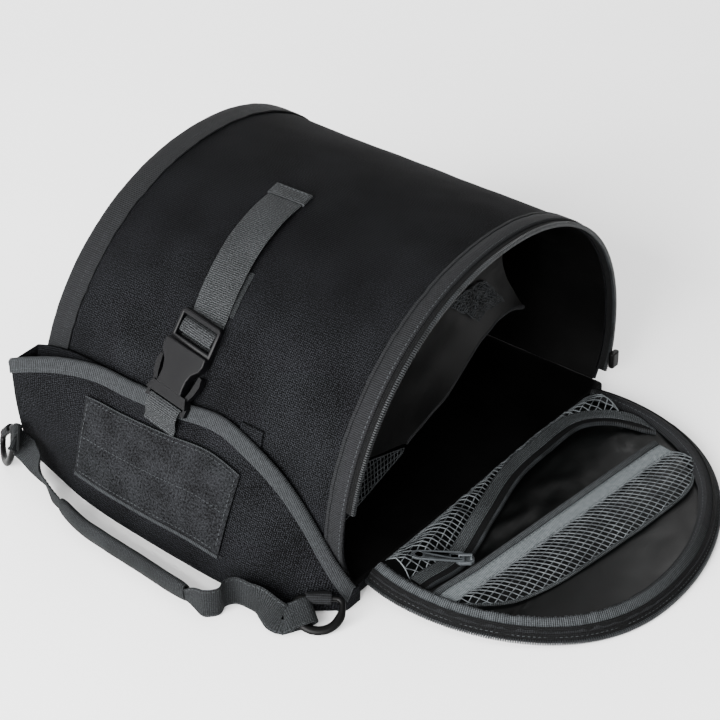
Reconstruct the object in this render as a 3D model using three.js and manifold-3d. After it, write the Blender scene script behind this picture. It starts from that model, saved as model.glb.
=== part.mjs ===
// Tactical helmet bag: a padded half-round tunnel on a flat base, open at its mouth,
// with the zipped door let down on the floor, a wedge pocket on the near side, a strap
// with a side-release buckle over it, and a webbing handle on two D-rings.
// Millimetres, +Z up. X runs from the closed end to the mouth, -Y is the pocket side,
// and the origin is the middle of the base's underside.
import * as THREE from 'three';
import { mergeVertices } from 'three/addons/utils/BufferGeometryUtils.js';
import Module from 'manifold-3d';

// Tunnel
const TUNNEL_LENGTH = 290;
const BASE_HALF = 156; // half the tunnel's width at the base seam
const BULGE_HALF = BASE_HALF + 9.5; // half its greatest width
const BULGE_HEIGHT = 36; // where that is, above the seam
const ARCH_HEIGHT = 203; // apex above the seam
const ARCH_SQUARENESS = 2.1; // 2 is an ellipse, more is squarer
const END_LEAN = 0.092; // how far the closed end leans in for each mm of height
const MOUTH_LEAN = 0.049; // how far the mouth leans out
const WALL = 3; // padded wall
const PAD_THICKNESS = 12; // padded base
const PAD_OVERHANG = 1.5; // base beyond the walls
const PAD_CORNER = 14;
const END_DOME = 5; // how far the closed end swells
const ARCH_STEPS = 36; // faces round the arch
const END_MARGIN = 0.92; // share of the closed end's outline where the swelling starts

// Tapes, zips and cloth
const GAP = 0.3; // clearance between pieces that touch
const TAPE = 1.3; // binding tape, as sewn
const CLOTH = 2; // pocket cloth with its lining
const MESH_CLOTH = 1.2;
const END_BAND = 16.7; // binding at the closed end
const END_BACK = 9; // its turn over the closed end
const MOUTH_BAND = 21; // binding and zip tape at the mouth
const MOUTH_TAPE = 7; // the part of it that is zip tape
const COIL_RADIUS = 1.6;
const ZIP_THICKNESS = 1.2;
const MOUTH_ZIP_START = 0.11; // share of the arch's length where the near zip ends
const MOUTH_ZIP_END = 0.985;

// Door
const DOOR_LENGTH = 179;
const DOOR_HALF = BASE_HALF - 5;
const DOOR_BASE_HALF = BASE_HALF - 10;
const DOOR_BULGE = 35;
const DOOR_TWIST = 20; // how far its tip swings to the near side
const DOOR_PANEL = 6.5; // padded panel
const DOOR_RIM = 11.5; // height of the bound rim over the door's underside
const DOOR_EDGE = 8.5; // panel's edge inside the zip's line
const DOOR_BAND = 18; // bound rim's inner edge inside the zip's line
const HINGE_RISE = 6; // underside of the door at the hinge, above the floor
const FLOOR_CLEAR = 0.3;

// Door pocket
const FACING = 17; // cloth facing beside the upper zip
const MESH_FOOT_HALF = DOOR_HALF - 26; // half width of the mesh where it is sewn at the hinge
const MESH_PUFF = 0.3; // swelling of the mesh, by its way across
const MESH_STATIONS = [0, 0.2, 0.45, 0.75, 1];
const LOWER_TAPE = 5;
const TRIM_BAND = 13;
const SLIDER_LENGTH = 13;
const SLIDER_WIDTH = 9.5;
const SLIDER_HEIGHT = 2.6; // the part of it above the coil
const PARKED_THICKNESS = 5; // whole height of the slider parked at the mouth
const PULL_LENGTH = 38;
const PULL_WIDTH = 10.5;
const PULL_THICKNESS = 1.6;
const PULL_BAR = 1.7; // the bar that turns under the bridge
const PULL_RISE = 3.5; // degrees; how far the tab is lifted by the puffed mesh it rests on
const PULL_WINDOW = 8; // the opening that the bridge passes through
const PULL_HOLE = 6; // round hole near the free end
const PULL_AZIMUTH = 218; // degrees; the way the tab points
const PIVOT_BACK = 1.5; // pivot from the slider's middle, towards the tab
const SLIDER_SHARE = 0.15; // how far along the zip the slider stands
const SLIDER_CLEAR = 3 * GAP; // over the coil, which slopes under it
const BRIDGE_SPAN = 5;
const BRIDGE_WIDTH = 2.4;
const BRIDGE_RISE = Math.hypot(PULL_BAR, PULL_THICKNESS) + 2 * GAP; // room for the bar to turn
const BRIDGE_BAR = 1.3;

// Front pocket
const POCKET_HEIGHT = 107;
const POCKET_REACH = 53; // floor edge beyond the base
const POCKET_PROUD = 27; // how far its free corner stands off the wall
const POCKET_BELLY = 4;
const POCKET_BINDING = 11;
const LOOP_WIDTH = 146;
const LOOP_HEIGHT = 62;
const LOOP_THICKNESS = 1.6;

const LOOP_X = -14; // middle of the loop panel
const LOOP_TOP = 0.2; // share of the way down the face
const POCKET_BACK = GAP + TAPE + 4 * GAP; // off the wall, clear of its bindings
const POCKET_CLEAR = 3.4 * GAP; // off the face, which is flat between its stations
const TAB_X = 45; // near end of the webbing tab over the pocket
const TAB_WIDTH = 20;
const TAB_HEIGHT = 22;
const TAB_PROUD = 4; // how far it shows over the pocket's edge

// Closure strap and buckle
const WEBBING = 30;
const WEBBING_THICKNESS = 1.5;
const FOLD_START = 29; // down from the apex to the strap's sewn end
const FOLD_LENGTH = 11;
const FOLD_EXTRA = 3; // wider than the strap
const STRAP_TOP_X = -11;
const TAIL_LENGTH = 35; // loose end beside the strap
const TAIL_SHIFT = 3; // how far the loose end lies beside the strap
const BUCKLE_WIDTH = 44;
const BUCKLE_FRAME = 38;
const BUCKLE_LENGTH = 70;
const BUCKLE_THICKNESS = 9;
const BUCKLE_ABOVE = 64; // its upper end above the pocket's edge, along the wall
const BUCKLE_LIFT = 5.5; // its inner face off the wall there
const BUCKLE_FOOT_LIFT = 8.2; // and at its lower end, over the pocket's bound edge
const BUCKLE_X = -6;
const BUCKLE_SLANT = 10; // how far its lower end lies towards the closed end

// D-rings and handle
const RING_WIDTH = 38;
const RING_WIRE = 4.6;
const TAB_WEBBING = 18;
const HANDLE_WEBBING = 24;
const HANDLE_OFF = 26; // how far the grip lies from the pocket's foot
const GRIP_START = -78; // x of its left end
const GRIP_LENGTH = 136; // along x
const GRIP_WIDTH = 19;
const GRIP_THICKNESS = 9;
const GRIP_WALL = 1.6;

// Flap inside the mouth
const FLAP_THICKNESS = 1.4;
const FLAP_DEPTH = 9; // its sewn edge, in from the mouth
const FLAP_REACH = 41; // its deepest point, in from the mouth
const FLAP_SAG = 9; // how far its middle lies deeper than its edges
const FLAP_LOW = 0.49; // height of the sewn edge's lower end, over the arch's height
const FLAP_HIGH = 0.52; // its upper end, as a share of the arch's length
const MESH_LOW = 0.265; // height where the mesh under the flap ends, over the arch's
const INSIDE_CLEAR = 3 * GAP; // off the wall, whose faces are flat between its steps

const HALF = TUNNEL_LENGTH / 2;
const SEAM = PAD_THICKNESS + GAP;
const PAD_HALF = BASE_HALF + PAD_OVERHANG;
const PAD_BACK = -HALF - WALL - 2 * TAPE;
const PAD_FRONT = HALF + PAD_OVERHANG;
const HINGE = PAD_FRONT + GAP;
const WRAP_END = HALF - MOUTH_TAPE;

const FINISHES = {
  nylon: { color: '#1d1e20', roughness: 0.92, metalness: 0 },
  lining: { color: '#141516', roughness: 0.6, metalness: 0 },
  tape: { color: '#37383a', roughness: 0.85, metalness: 0 },
  trim: { color: '#4a4c4f', roughness: 0.85, metalness: 0 },
  webbing: { color: '#2b2d2f', roughness: 0.85, metalness: 0 },
  loop: { color: '#26292a', roughness: 1, metalness: 0 },
  mesh: { color: '#232425', roughness: 0.8, metalness: 0 },
  coil: { color: '#1a1b1c', roughness: 0.5, metalness: 0 },
  plastic: { color: '#232527', roughness: 0.42, metalness: 0 },
  zinc: { color: '#1c1d1f', roughness: 0.35, metalness: 0.6 },
};

const bag = new THREE.Group();
const wasm = await Module();
wasm.setup();

function addPiece(name, geometry, finish, parent = bag) {
  const mesh = new THREE.Mesh(geometry, new THREE.MeshStandardMaterial(FINISHES[finish]));
  mesh.name = name;
  parent.add(mesh);
  return mesh;
}

const vec = (x, y, z) => new THREE.Vector3(x, y, z);
const mix = THREE.MathUtils.lerp;

// A closed solid through rings of points, all of one count, turned to face outwards.
function loft(rings, closed = false) {
  const count = rings[0].length;
  const points = rings.flat();
  const faces = [];
  const spans = closed ? rings.length : rings.length - 1;
  for (let i = 0; i < spans; i++) {
    const here = i * count;
    const next = ((i + 1) % rings.length) * count;
    for (let j = 0; j < count; j++) {
      const k = (j + 1) % count;
      faces.push([here + j, here + k, next + k], [here + j, next + k, next + j]);
    }
  }
  if (!closed) {
    for (const [start, flip] of [[0, true], [(rings.length - 1) * count, false]]) {
      for (const [a, b, c] of capFaces(points.slice(start, start + count))) {
        faces.push(flip ? [start + c, start + b, start + a] : [start + a, start + b, start + c]);
      }
    }
  }
  return solid(points, faces);
}

// Triangles of a flat or nearly flat ring, going round the way the ring does.
function capFaces(ring) {
  const normal = vec(0, 0, 0);
  ring.forEach((p, i) => normal.add(p.clone().cross(ring[(i + 1) % ring.length])));
  normal.normalize();
  const across = new THREE.Vector3().subVectors(ring[1], ring[0]).normalize();
  const up = normal.clone().cross(across);
  const flat = ring.map((p) => new THREE.Vector2(p.dot(across), p.dot(up)));
  return THREE.ShapeUtils.triangulateShape(flat, []);
}

function solid(points, faces) {
  let volume = 0;
  for (const [a, b, c] of faces) volume += points[a].dot(points[b].clone().cross(points[c]));
  const turned = volume < 0 ? faces.map(([a, b, c]) => [a, c, b]) : faces;
  const geometry = new THREE.BufferGeometry().setFromPoints(points);
  geometry.setIndex(turned.flat());
  geometry.computeVertexNormals();
  return geometry;
}

// A profile of [a, b] pairs carried along frames: a runs across, b runs out.
const sweep = (frames, profile, closed = false) =>
  loft(frames.map((f) => profile.map(([a, b]) => placed(f, a, b))), closed);

const placed = (f, a, b) => f.at.clone().addScaledVector(f.across, a).addScaledVector(f.out, b);

// A cloth of one thickness over a grid of points, rows by columns, grown along its
// normals or one way.
function cloth(grid, thickness, way) {
  const rows = grid.length;
  const columns = grid[0].length;
  const top = grid.map((row, i) => row.map((p, j) => {
    const alongRow = row[Math.min(j + 1, columns - 1)].clone().sub(row[Math.max(j - 1, 0)]);
    const alongColumn = grid[Math.min(i + 1, rows - 1)][j].clone().sub(grid[Math.max(i - 1, 0)][j]);
    return p.clone().addScaledVector(way ?? alongRow.cross(alongColumn).normalize(), thickness);
  }));
  return loft(grid.map((row, i) => [...row, ...top[i].slice().reverse()]));
}

// Frames along a smooth curve through a few points. The width lies along sideways.
function framesThrough(points, sideways, steps) {
  const path = new THREE.CatmullRomCurve3(points);
  const width = new THREE.CatmullRomCurve3(sideways);
  const frames = [];
  for (let i = 0; i <= steps; i++) {
    const tangent = path.getTangent(i / steps);
    const across = width.getPoint(i / steps);
    across.addScaledVector(tangent, -across.dot(tangent)).normalize();
    frames.push({ at: path.getPoint(i / steps), across, out: tangent.clone().cross(across) });
  }
  return frames;
}

const webbingProfile = (width, thickness) => [
  [-width / 2, 0], [width / 2, 0], [width / 2, thickness], [-width / 2, thickness],
];

// Zip tape of one width with the coil as a round bead along its edge at a = 0.
function zipProfile(width) {
  const half = ZIP_THICKNESS / 2;
  const r = COIL_RADIUS;
  const bead = 0.7 * r;
  return [
    [-width, -half], [-r, -half], [-bead, -r], [bead, -r], [r, 0],
    [bead, r], [-bead, r], [-r, half], [-width, half],
  ];
}

function asManifold(geometry) {
  const bare = geometry.clone();
  for (const name of ['normal', 'uv']) bare.deleteAttribute(name);
  const merged = mergeVertices(bare, 1e-4);
  const mesh = { numProp: 3, vertProperties: merged.attributes.position.array };
  mesh.triVerts = new Uint32Array(merged.index.array);
  return new wasm.Manifold(new wasm.Mesh(mesh));
}

function asGeometry(manifold) {
  const mesh = manifold.getMesh();
  const geometry = new THREE.BufferGeometry();
  geometry.setAttribute('position', new THREE.BufferAttribute(mesh.vertProperties, 3));
  geometry.setIndex(new THREE.BufferAttribute(mesh.triVerts, 1));
  geometry.computeVertexNormals();
  return geometry;
}

// The half-round outline of tunnel and door: a rounded arch over a tucked-in foot.
// at(u, out) gives its point u of the way round, from the near foot to the far one.
function archOutline({ height, half, bulge, baseHalf, squareness }) {
  const steps = 48;
  const side = [];
  for (let i = 0; i <= steps; i++) {
    const angle = (i / steps) * (Math.PI / 2);
    const wide = Math.sin(angle) ** (2 / squareness);
    const high = Math.cos(angle) ** (2 / squareness);
    side.push([half * wide, bulge + (height - bulge) * high]);
  }
  for (let i = 1; i <= steps / 4; i++) {
    const s = i / (steps / 4);
    side.push([half + (baseHalf - half) * s * s, bulge * (1 - s)]);
  }
  const near = side.map(([y, z]) => new THREE.Vector2(-y, z)).reverse();
  const points = [...near, ...side.slice(1).map(([y, z]) => new THREE.Vector2(y, z))];
  const lengths = [0];
  for (let i = 1; i < points.length; i++) {
    lengths.push(lengths[i - 1] + points[i].distanceTo(points[i - 1]));
  }
  const total = lengths[lengths.length - 1];
  function at(u, out = 0) {
    const target = THREE.MathUtils.clamp(u, 0, 1) * total;
    let i = 1;
    while (i < points.length - 1 && lengths[i] < target) i++;
    const share = (target - lengths[i - 1]) / (lengths[i] - lengths[i - 1]);
    const step = points[i].clone().sub(points[i - 1]).normalize();
    const y = mix(points[i - 1].x, points[i].x, share) - step.y * out;
    const z = mix(points[i - 1].y, points[i].y, share) + step.x * out;
    return { y, z: Math.max(z, 0), normal: vec(0, -step.y, step.x) };
  }
  // The near side's share u at a height.
  function nearAt(height_) {
    let low = 0;
    let high = 0.5;
    for (let i = 0; i < 30; i++) {
      const middle = (low + high) / 2;
      if (at(middle).z < height_) low = middle;
      else high = middle;
    }
    return low;
  }
  return { at, nearAt, total };
}

const arch = archOutline({
  height: ARCH_HEIGHT, half: BULGE_HALF, bulge: BULGE_HEIGHT, baseHalf: BASE_HALF,
  squareness: ARCH_SQUARENESS,
});

// A point of the tunnel's wall, with the lean of its two ends.
function wallPoint(x, u, out = 0) {
  const { y, z } = arch.at(u, out);
  const lean = mix(END_LEAN, MOUTH_LEAN, (x + HALF) / TUNNEL_LENGTH);
  return vec(x + lean * z, y, SEAM + z);
}

// A profile of [x, out] pairs carried round the arch, over the same steps for every piece.
function aroundArch(profile, from = 0, to = 1) {
  const rings = [];
  for (let i = Math.round(from * ARCH_STEPS); i <= Math.round(to * ARCH_STEPS); i++) {
    rings.push(profile.map(([x, out]) => wallPoint(x, i / ARCH_STEPS, out)));
  }
  return loft(rings);
}

function buildTunnel() {
  const shape = new THREE.Shape();
  const c = PAD_CORNER;
  shape.moveTo(PAD_BACK + c, -PAD_HALF).lineTo(PAD_FRONT, -PAD_HALF).lineTo(PAD_FRONT, PAD_HALF);
  shape.lineTo(PAD_BACK + c, PAD_HALF).quadraticCurveTo(PAD_BACK, PAD_HALF, PAD_BACK, PAD_HALF - c);
  shape.lineTo(PAD_BACK, c - PAD_HALF).quadraticCurveTo(PAD_BACK, -PAD_HALF, PAD_BACK + c, -PAD_HALF);
  const pad = new THREE.ExtrudeGeometry(shape, {
    depth: PAD_THICKNESS, bevelEnabled: false, curveSegments: 5,
  });
  addPiece('base_pad', pad, 'nylon');
  const wrap = [[-HALF, -WALL], [-HALF, 0], [WRAP_END, 0], [WRAP_END, -WALL]];
  addPiece('main_wrap', aroundArch(wrap), 'nylon');

  const front = -HALF - GAP;
  const back = front - WALL + TAPE / 2;
  // Rings of the closed end: x, and the share of the outline's size.
  const rings = [[front, 1], [back, 1], [back, END_MARGIN], [back - END_DOME * 0.8, 0.7],
    [back - END_DOME, 0.35]].map(([x, share]) => endRing(x, share));
  addPiece('end_panel', loft(rings), 'nylon');

  const turn = back - GAP;
  addPiece('end_binding', aroundArch([
    [END_BAND - HALF, GAP], [END_BAND - HALF, GAP + TAPE], [turn - TAPE, GAP + TAPE],
    [turn - TAPE, -END_BACK], [turn, -END_BACK], [turn, GAP],
  ]), 'tape');
  addPiece('mouth_binding', aroundArch([
    [HALF - MOUTH_BAND, GAP], [HALF - MOUTH_BAND, GAP + TAPE],
    [WRAP_END + TAPE, GAP + TAPE], [WRAP_END + TAPE, GAP],
  ]), 'tape');
  const zip = zipProfile(MOUTH_TAPE - GAP).map(([a, b]) => [HALF + a, b - ZIP_THICKNESS / 2]);
  addPiece('mouth_zip', aroundArch(zip, MOUTH_ZIP_START, MOUTH_ZIP_END), 'coil');

  const parked = wallPoint(HALF + COIL_RADIUS + GAP + PARKED_THICKNESS / 2, MOUTH_ZIP_END - 0.02);
  const body = sliderBody(PARKED_THICKNESS, SLIDER_WIDTH, SLIDER_LENGTH);
  addPiece('main_zip_slider', body, 'zinc').position.copy(parked);
}

function endRing(x, share) {
  const middle = ARCH_HEIGHT * 0.45;
  const ring = [];
  for (let i = 0; i <= ARCH_STEPS; i++) {
    const { y, z } = arch.at(i / ARCH_STEPS);
    const height = share === 1 ? z : middle + (z - middle) * share;
    const lean = mix(END_LEAN, MOUTH_LEAN, (x + HALF) / TUNNEL_LENGTH);
    ring.push(vec(x + lean * height, y * share, SEAM + height));
  }
  return ring;
}

// A small block with cut corners, centred where it stands.
function sliderBody(length, width, height) {
  const cut = Math.min(length, width) * 0.25;
  const [x, y] = [length / 2, width / 2];
  const ring = [[-x + cut, -y], [x - cut, -y], [x, -y + cut], [x, y - cut],
    [x - cut, y], [-x + cut, y], [-x, y - cut], [-x, -y + cut]];
  return loft([-height / 2, height / 2].map((z) => ring.map(([a, b]) => vec(a, b, z))));
}

const door = archOutline({
  height: DOOR_LENGTH, half: DOOR_HALF, bulge: DOOR_BULGE, baseHalf: DOOR_BASE_HALF,
  squareness: ARCH_SQUARENESS,
});
const DOOR_TOP = DOOR_PANEL + GAP;

// Height of the door's underside over the floor, by distance from the hinge.
const doorFloor = (s) => FLOOR_CLEAR + HINGE_RISE * (1 - THREE.MathUtils.clamp(s / DOOR_LENGTH, 0, 1));

function doorPoint(u, out, rise) {
  const { y, z: s } = door.at(u, out);
  return vec(HINGE + s, y - DOOR_TWIST * (s / DOOR_LENGTH) ** 4, doorFloor(s) + rise);
}

function aroundDoor(profile) {
  const rings = [];
  for (let i = 0; i <= ARCH_STEPS; i++) {
    rings.push(profile.map(([out, rise]) => doorPoint(i / ARCH_STEPS, out, rise)));
  }
  return loft(rings);
}

function buildDoor() {
  // Rings of the padded panel: inset from its edge, and height as a share of its thickness.
  const rings = [[3, 0], [0.5, 0.25], [0, 0.7], [2.5, 1]].map(([inset, share]) => {
    const ring = [];
    for (let i = 0; i <= ARCH_STEPS; i++) {
      ring.push(doorPoint(i / ARCH_STEPS, -DOOR_EDGE - inset, share * DOOR_PANEL));
    }
    return ring;
  });
  addPiece('door_panel', loft(rings), 'lining');
  addPiece('door_binding', aroundDoor([
    [-DOOR_BAND, DOOR_TOP], [-DOOR_BAND, DOOR_TOP + TAPE], [-DOOR_EDGE, DOOR_RIM + TAPE],
    [2 - DOOR_EDGE, DOOR_RIM + TAPE / 2], [2 - DOOR_EDGE, DOOR_RIM - TAPE / 2], [-DOOR_EDGE, DOOR_RIM],
  ]), 'tape');
  // The zip slopes from under the bound rim down to its coil beside the floor.
  const start = new THREE.Vector2(2.2 - DOOR_EDGE, DOOR_RIM - TAPE - GAP);
  const coil = new THREE.Vector2(0, COIL_RADIUS + FLOOR_CLEAR);
  const along = coil.clone().sub(start).normalize();
  const profile = zipProfile(coil.distanceTo(start)).map(([a, b]) => [
    coil.x + along.x * a - along.y * b, coil.y + along.y * a + along.x * b,
  ]);
  addPiece('door_zip', aroundDoor(profile), 'coil');
}

// The door pocket's upper zip, from the near side to the far: y and distance from the
// hinge as shares of the door's half width and length, rise over the panel.
const UPPER_ZIP = [
  { y: -0.83, reach: 0.24, rise: 1.7 },
  { y: -0.64, reach: 0.27, rise: 2.2 },
  { y: -0.28, reach: 0.208, rise: 7.5 },
  { y: 0.04, reach: 0.145, rise: 9 },
  { y: 0.31, reach: 0.135, rise: 9 },
  { y: 0.58, reach: 0.145, rise: 8 },
  { y: 0.72, reach: 0.22, rise: 5 },
  { y: 0.8, reach: 0.34, rise: 1.7 },
];
const LOWER_ZIP = [
  { y: -0.83, reach: 0.272, rise: 1.7 },
  { y: -0.6, reach: 0.3, rise: 1.7 },
  { y: 0.04, reach: 0.35, rise: 1.7 },
  { y: 0.66, reach: 0.4, rise: 1.7 },
  { y: 0.78, reach: 0.408, rise: 1.7 },
];
const LOWER_MESH = [
  { y: -0.79, reach: 0.44 }, { y: -0.68, reach: 0.53 }, { y: -0.48, reach: 0.6 },
  { y: -0.1, reach: 0.65 }, { y: 0.28, reach: 0.685 }, { y: 0.55, reach: 0.69 }, { y: 0.64, reach: 0.66 },
];

const onDoor = (row, rise) => {
  const s = row.reach * DOOR_LENGTH;
  return vec(HINGE + s, row.y * DOOR_HALF, doorFloor(s) + DOOR_TOP + rise);
};

const doorPath = (table) => new THREE.CatmullRomCurve3(table.map((row) => onDoor(row, row.rise)));

// Level frames along a table's line, across pointing away from the hinge.
function doorFrames(table, steps) {
  const path = doorPath(table);
  const frames = [];
  for (let i = 0; i <= steps; i++) {
    const tangent = path.getTangent(i / steps);
    frames.push({
      at: path.getPoint(i / steps), across: vec(tangent.y, -tangent.x, 0).normalize(), out: vec(0, 0, 1),
    });
  }
  return frames;
}

// How far a point of the door is inside its bound rim, sideways.
function insideRim(p) {
  const s = Math.max(p.x - HINGE, 0);
  const rim = -door.at(door.nearAt(s), -DOOR_BAND - 2 * GAP).y;
  return rim - Math.abs(p.y + DOOR_TWIST * (s / DOOR_LENGTH) ** 4);
}

function buildDoorPocket() {
  const steps = 20;
  const upper = doorFrames(UPPER_ZIP, steps);
  // The facing narrows where it would run into the bound rim.
  const facings = upper.map((f) => {
    let width = FACING;
    while (width > 2 * COIL_RADIUS && insideRim(placed(f, -width, 0)) < 0) width -= 0.5;
    return width;
  });
  const facing = upper.map((f, i) => zipProfile(facings[i]).map(([a, b]) => placed(f, a, b)));
  addPiece('pocket_zip_upper', loft(facing), 'tape');

  // The puffed mesh from the hinge to the facing: share of the way, and its swelling.
  const upperMesh = upper.map((f, i) => {
    const end = placed(f, -facings[i] - GAP, -ZIP_THICKNESS / 2);
    const start = vec(HINGE + TAPE, end.y, doorFloor(0) + DOOR_TOP);
    start.y = THREE.MathUtils.clamp(end.y, -MESH_FOOT_HALF, MESH_FOOT_HALF);
    const puff = MESH_PUFF * Math.hypot(end.x - start.x, end.z - start.z);
    return MESH_STATIONS.map((share) => {
      const p = start.clone().lerp(end, share);
      p.z += puff * Math.sin(Math.PI * share);
      return p;
    });
  });
  addPiece('door_mesh_upper', cloth(upperMesh, MESH_CLOTH, vec(0, 0, 1)), 'mesh');

  const lower = doorFrames(LOWER_ZIP, steps);
  const lowerProfile = zipProfile(LOWER_TAPE).map(([a, b]) => [-a, b]).reverse();
  addPiece('pocket_zip_lower', sweep(lower, lowerProfile), 'coil');
  const trimStart = LOWER_TAPE + GAP;
  const trimEnd = trimStart + TRIM_BAND;
  const trimProfile = [[trimStart, -TAPE], [trimEnd, -TAPE], [trimEnd, 0], [trimStart, 0]];
  addPiece('pocket_trim_band', sweep(lower, trimProfile), 'trim');

  const edge = new THREE.CatmullRomCurve3(LOWER_MESH.map((row) => onDoor(row, 0)));
  const swellings = [[0, 0], [0.5, 3], [1, 0]];
  const lowerMesh = lower.map((f, i) => {
    const start = placed(f, trimEnd + GAP, -TAPE);
    const end = edge.getPoint(i / steps);
    return swellings.map(([share, swell]) => {
      const p = start.clone().lerp(end, share);
      p.z += swell;
      return p;
    });
  });
  addPiece('door_mesh_lower', cloth(lowerMesh, MESH_CLOTH, vec(0, 0, 1)), 'mesh');
}

// Front pocket: at is x over half the tunnel's length; top, proud and reach are shares
// of the pocket's height, of how far its corner stands off and of its reach on the floor.
const POCKET = [
  { at: -1.02, top: 0.885, proud: 1, reach: 0.4 },
  { at: -0.93, top: 0.92, proud: 0.85, reach: 0.47 },
  { at: -0.78, top: 0.95, proud: 0.5, reach: 0.6 },
  { at: -0.58, top: 0.95, proud: 0.14, reach: 0.76 },
  { at: -0.36, top: 0.93, proud: 0.03, reach: 0.86 },
  { at: -0.08, top: 0.94, proud: 0, reach: 0.93 },
  { at: 0.2, top: 0.975, proud: 0, reach: 0.98 },
  { at: 0.41, top: 0.9, proud: 0, reach: 1 },
  { at: 0.62, top: 0.77, proud: 0, reach: 0.98 },
  { at: 0.77, top: 0.61, proud: 0, reach: 0.88 },
  { at: 0.89, top: 0.42, proud: 0.02, reach: 0.7 },
  { at: 0.98, top: 0.25, proud: 0.08, reach: 0.48 },
  { at: 1.04, top: 0.13, proud: 0.14, reach: 0.32 },
];
const BACK_SHARES = [0, 0.12, 0.25, 0.4, 0.6, 0.8, 1]; // heights of a section's back
const FACE_SHARES = [0, 0.25, 0.5, 0.75, 0.94]; // and of its face, from the top down
const FACE_START = BACK_SHARES.length;
const FACE_END = FACE_START + FACE_SHARES.length;

// Half width of the bag's side at a height over the floor.
function sideHalf(height) {
  if (height < SEAM) return PAD_HALF + GAP;
  return Math.max(-arch.at(arch.nearAt(height - SEAM)).y + POCKET_BACK, PAD_HALF + GAP);
}

// A section of the pocket, from its foot on the base up the wall and down its face.
function pocketSection(row, inset = 0) {
  const top = row.top * POCKET_HEIGHT;
  const x = row.at * HALF;
  const back = BACK_SHARES.map((share) => {
    const height = mix(inset, top, share);
    return [sideHalf(height) - 5 * inset, height];
  });
  const faceTop = sideHalf(top) + CLOTH + row.proud * POCKET_PROUD;
  if (inset) back.push([sideHalf(top) - 5 * inset, 2 * top], [faceTop - inset, 2 * top]);
  const foot = PAD_HALF + row.reach * POCKET_REACH;
  const face = FACE_SHARES.map((share) => {
    const belly = POCKET_BELLY * row.top * Math.sin(Math.PI * share);
    return [mix(faceTop, foot, share) + belly - inset, Math.max(top * (1 - share), inset)];
  });
  const sole = [foot - 4 - inset, inset];
  return [...back, ...face, sole].map(([half, z]) => vec(x, -half, z));
}

// Points of the face between two stations: x, and the share down from the top edge.
function pocketFace(x, share) {
  const at = x / HALF;
  let i = 1;
  while (i < POCKET.length - 1 && POCKET[i].at < at) i++;
  const side = (at - POCKET[i - 1].at) / (POCKET[i].at - POCKET[i - 1].at);
  const near = pocketSection(POCKET[i - 1]).slice(FACE_START, FACE_END);
  const far = pocketSection(POCKET[i]).slice(FACE_START, FACE_END);
  let k = 1;
  while (k < FACE_SHARES.length - 1 && FACE_SHARES[k] < share) k++;
  const down = (share - FACE_SHARES[k - 1]) / (FACE_SHARES[k] - FACE_SHARES[k - 1]);
  const a = near[k - 1].clone().lerp(near[k], down);
  const b = far[k - 1].clone().lerp(far[k], down);
  return a.lerp(b, side);
}

function buildFrontPocket() {
  const outer = loft(POCKET.map((row) => pocketSection(row)));
  const inner = loft(POCKET.map((row, i) => {
    const end = i === 0 ? CLOTH : i === POCKET.length - 1 ? -CLOTH : 0;
    return pocketSection({ ...row, at: row.at + end / HALF }, CLOTH);
  }));
  addPiece('front_pocket', asGeometry(asManifold(outer).subtract(asManifold(inner))), 'nylon');

  const last = POCKET.length - 1;
  const frames = POCKET.map((row) => {
    const [edge, below] = pocketSection(row).slice(FACE_START);
    const down = below.clone().sub(edge).normalize();
    return { at: edge, across: down, out: vec(0, down.z, -down.y).normalize() };
  });
  frames[last].at.x -= GAP;
  const over = 2 * GAP + CLOTH / 2; // the turn over the edge, whose cloth slants inwards
  const [under, top] = [POCKET_CLEAR, POCKET_CLEAR + TAPE];
  addPiece('pocket_binding', sweep(frames, [
    [POCKET_BINDING - over, under], [POCKET_BINDING - over, top], [-over, top],
    [-over - TAPE, under], [-over - TAPE, -CLOTH / 2], [-over, -CLOTH / 2], [-over, under],
  ]), 'tape');
}

// Distances down from the apex along the arch, and points of the near wall by them.
const nearShare = (down) => 0.5 - down / arch.total;
const downTo = (height) => (0.5 - arch.nearAt(height - SEAM)) * arch.total;
function onNearWall(x, down, out) {
  const { y, z } = arch.at(nearShare(down), out);
  return vec(x, y, SEAM + z);
}

// The closure strap. way is 0 at the fold's lower end and 1 at the buckle's upper end,
// and past that it counts lengths of the buckle; lift is a share of the buckle's.
const STRAP = [
  { way: 0.01, lift: 0.18 },
  { way: 0.2, lift: 0.65 },
  { way: 0.485, lift: 0.95 },
  { way: 0.8, lift: 0.65 },
  { way: 1.029, lift: 0.4 },
  { way: 1.093, lift: 0.418 },
  { way: 1.137, lift: 0.91 },
  { way: 1.183, lift: 1.2 },
  { way: 1.223, lift: 0.764 },
  { way: 1.263, lift: 0.218 },
  { way: 1.3, lift: 0.09 },
];
const FOLD_END = FOLD_START + FOLD_LENGTH;

// Distance down from the apex to the wall behind the pocket's edge, and from there up to
// the buckle's upper end.
const edgeAtBuckle = pocketFace(BUCKLE_X, 0).z;
const BUCKLE_TOP = downTo(edgeAtBuckle) - BUCKLE_ABOVE;

// The strap's middle, which slants from the buckle's head down to its foot.
function strapX(down) {
  const above = Math.max(0, 1 - down / BUCKLE_TOP);
  const below = Math.max(0, down - BUCKLE_TOP) / BUCKLE_LENGTH;
  return BUCKLE_X + (STRAP_TOP_X - BUCKLE_X) * above - BUCKLE_SLANT * below;
}

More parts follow.
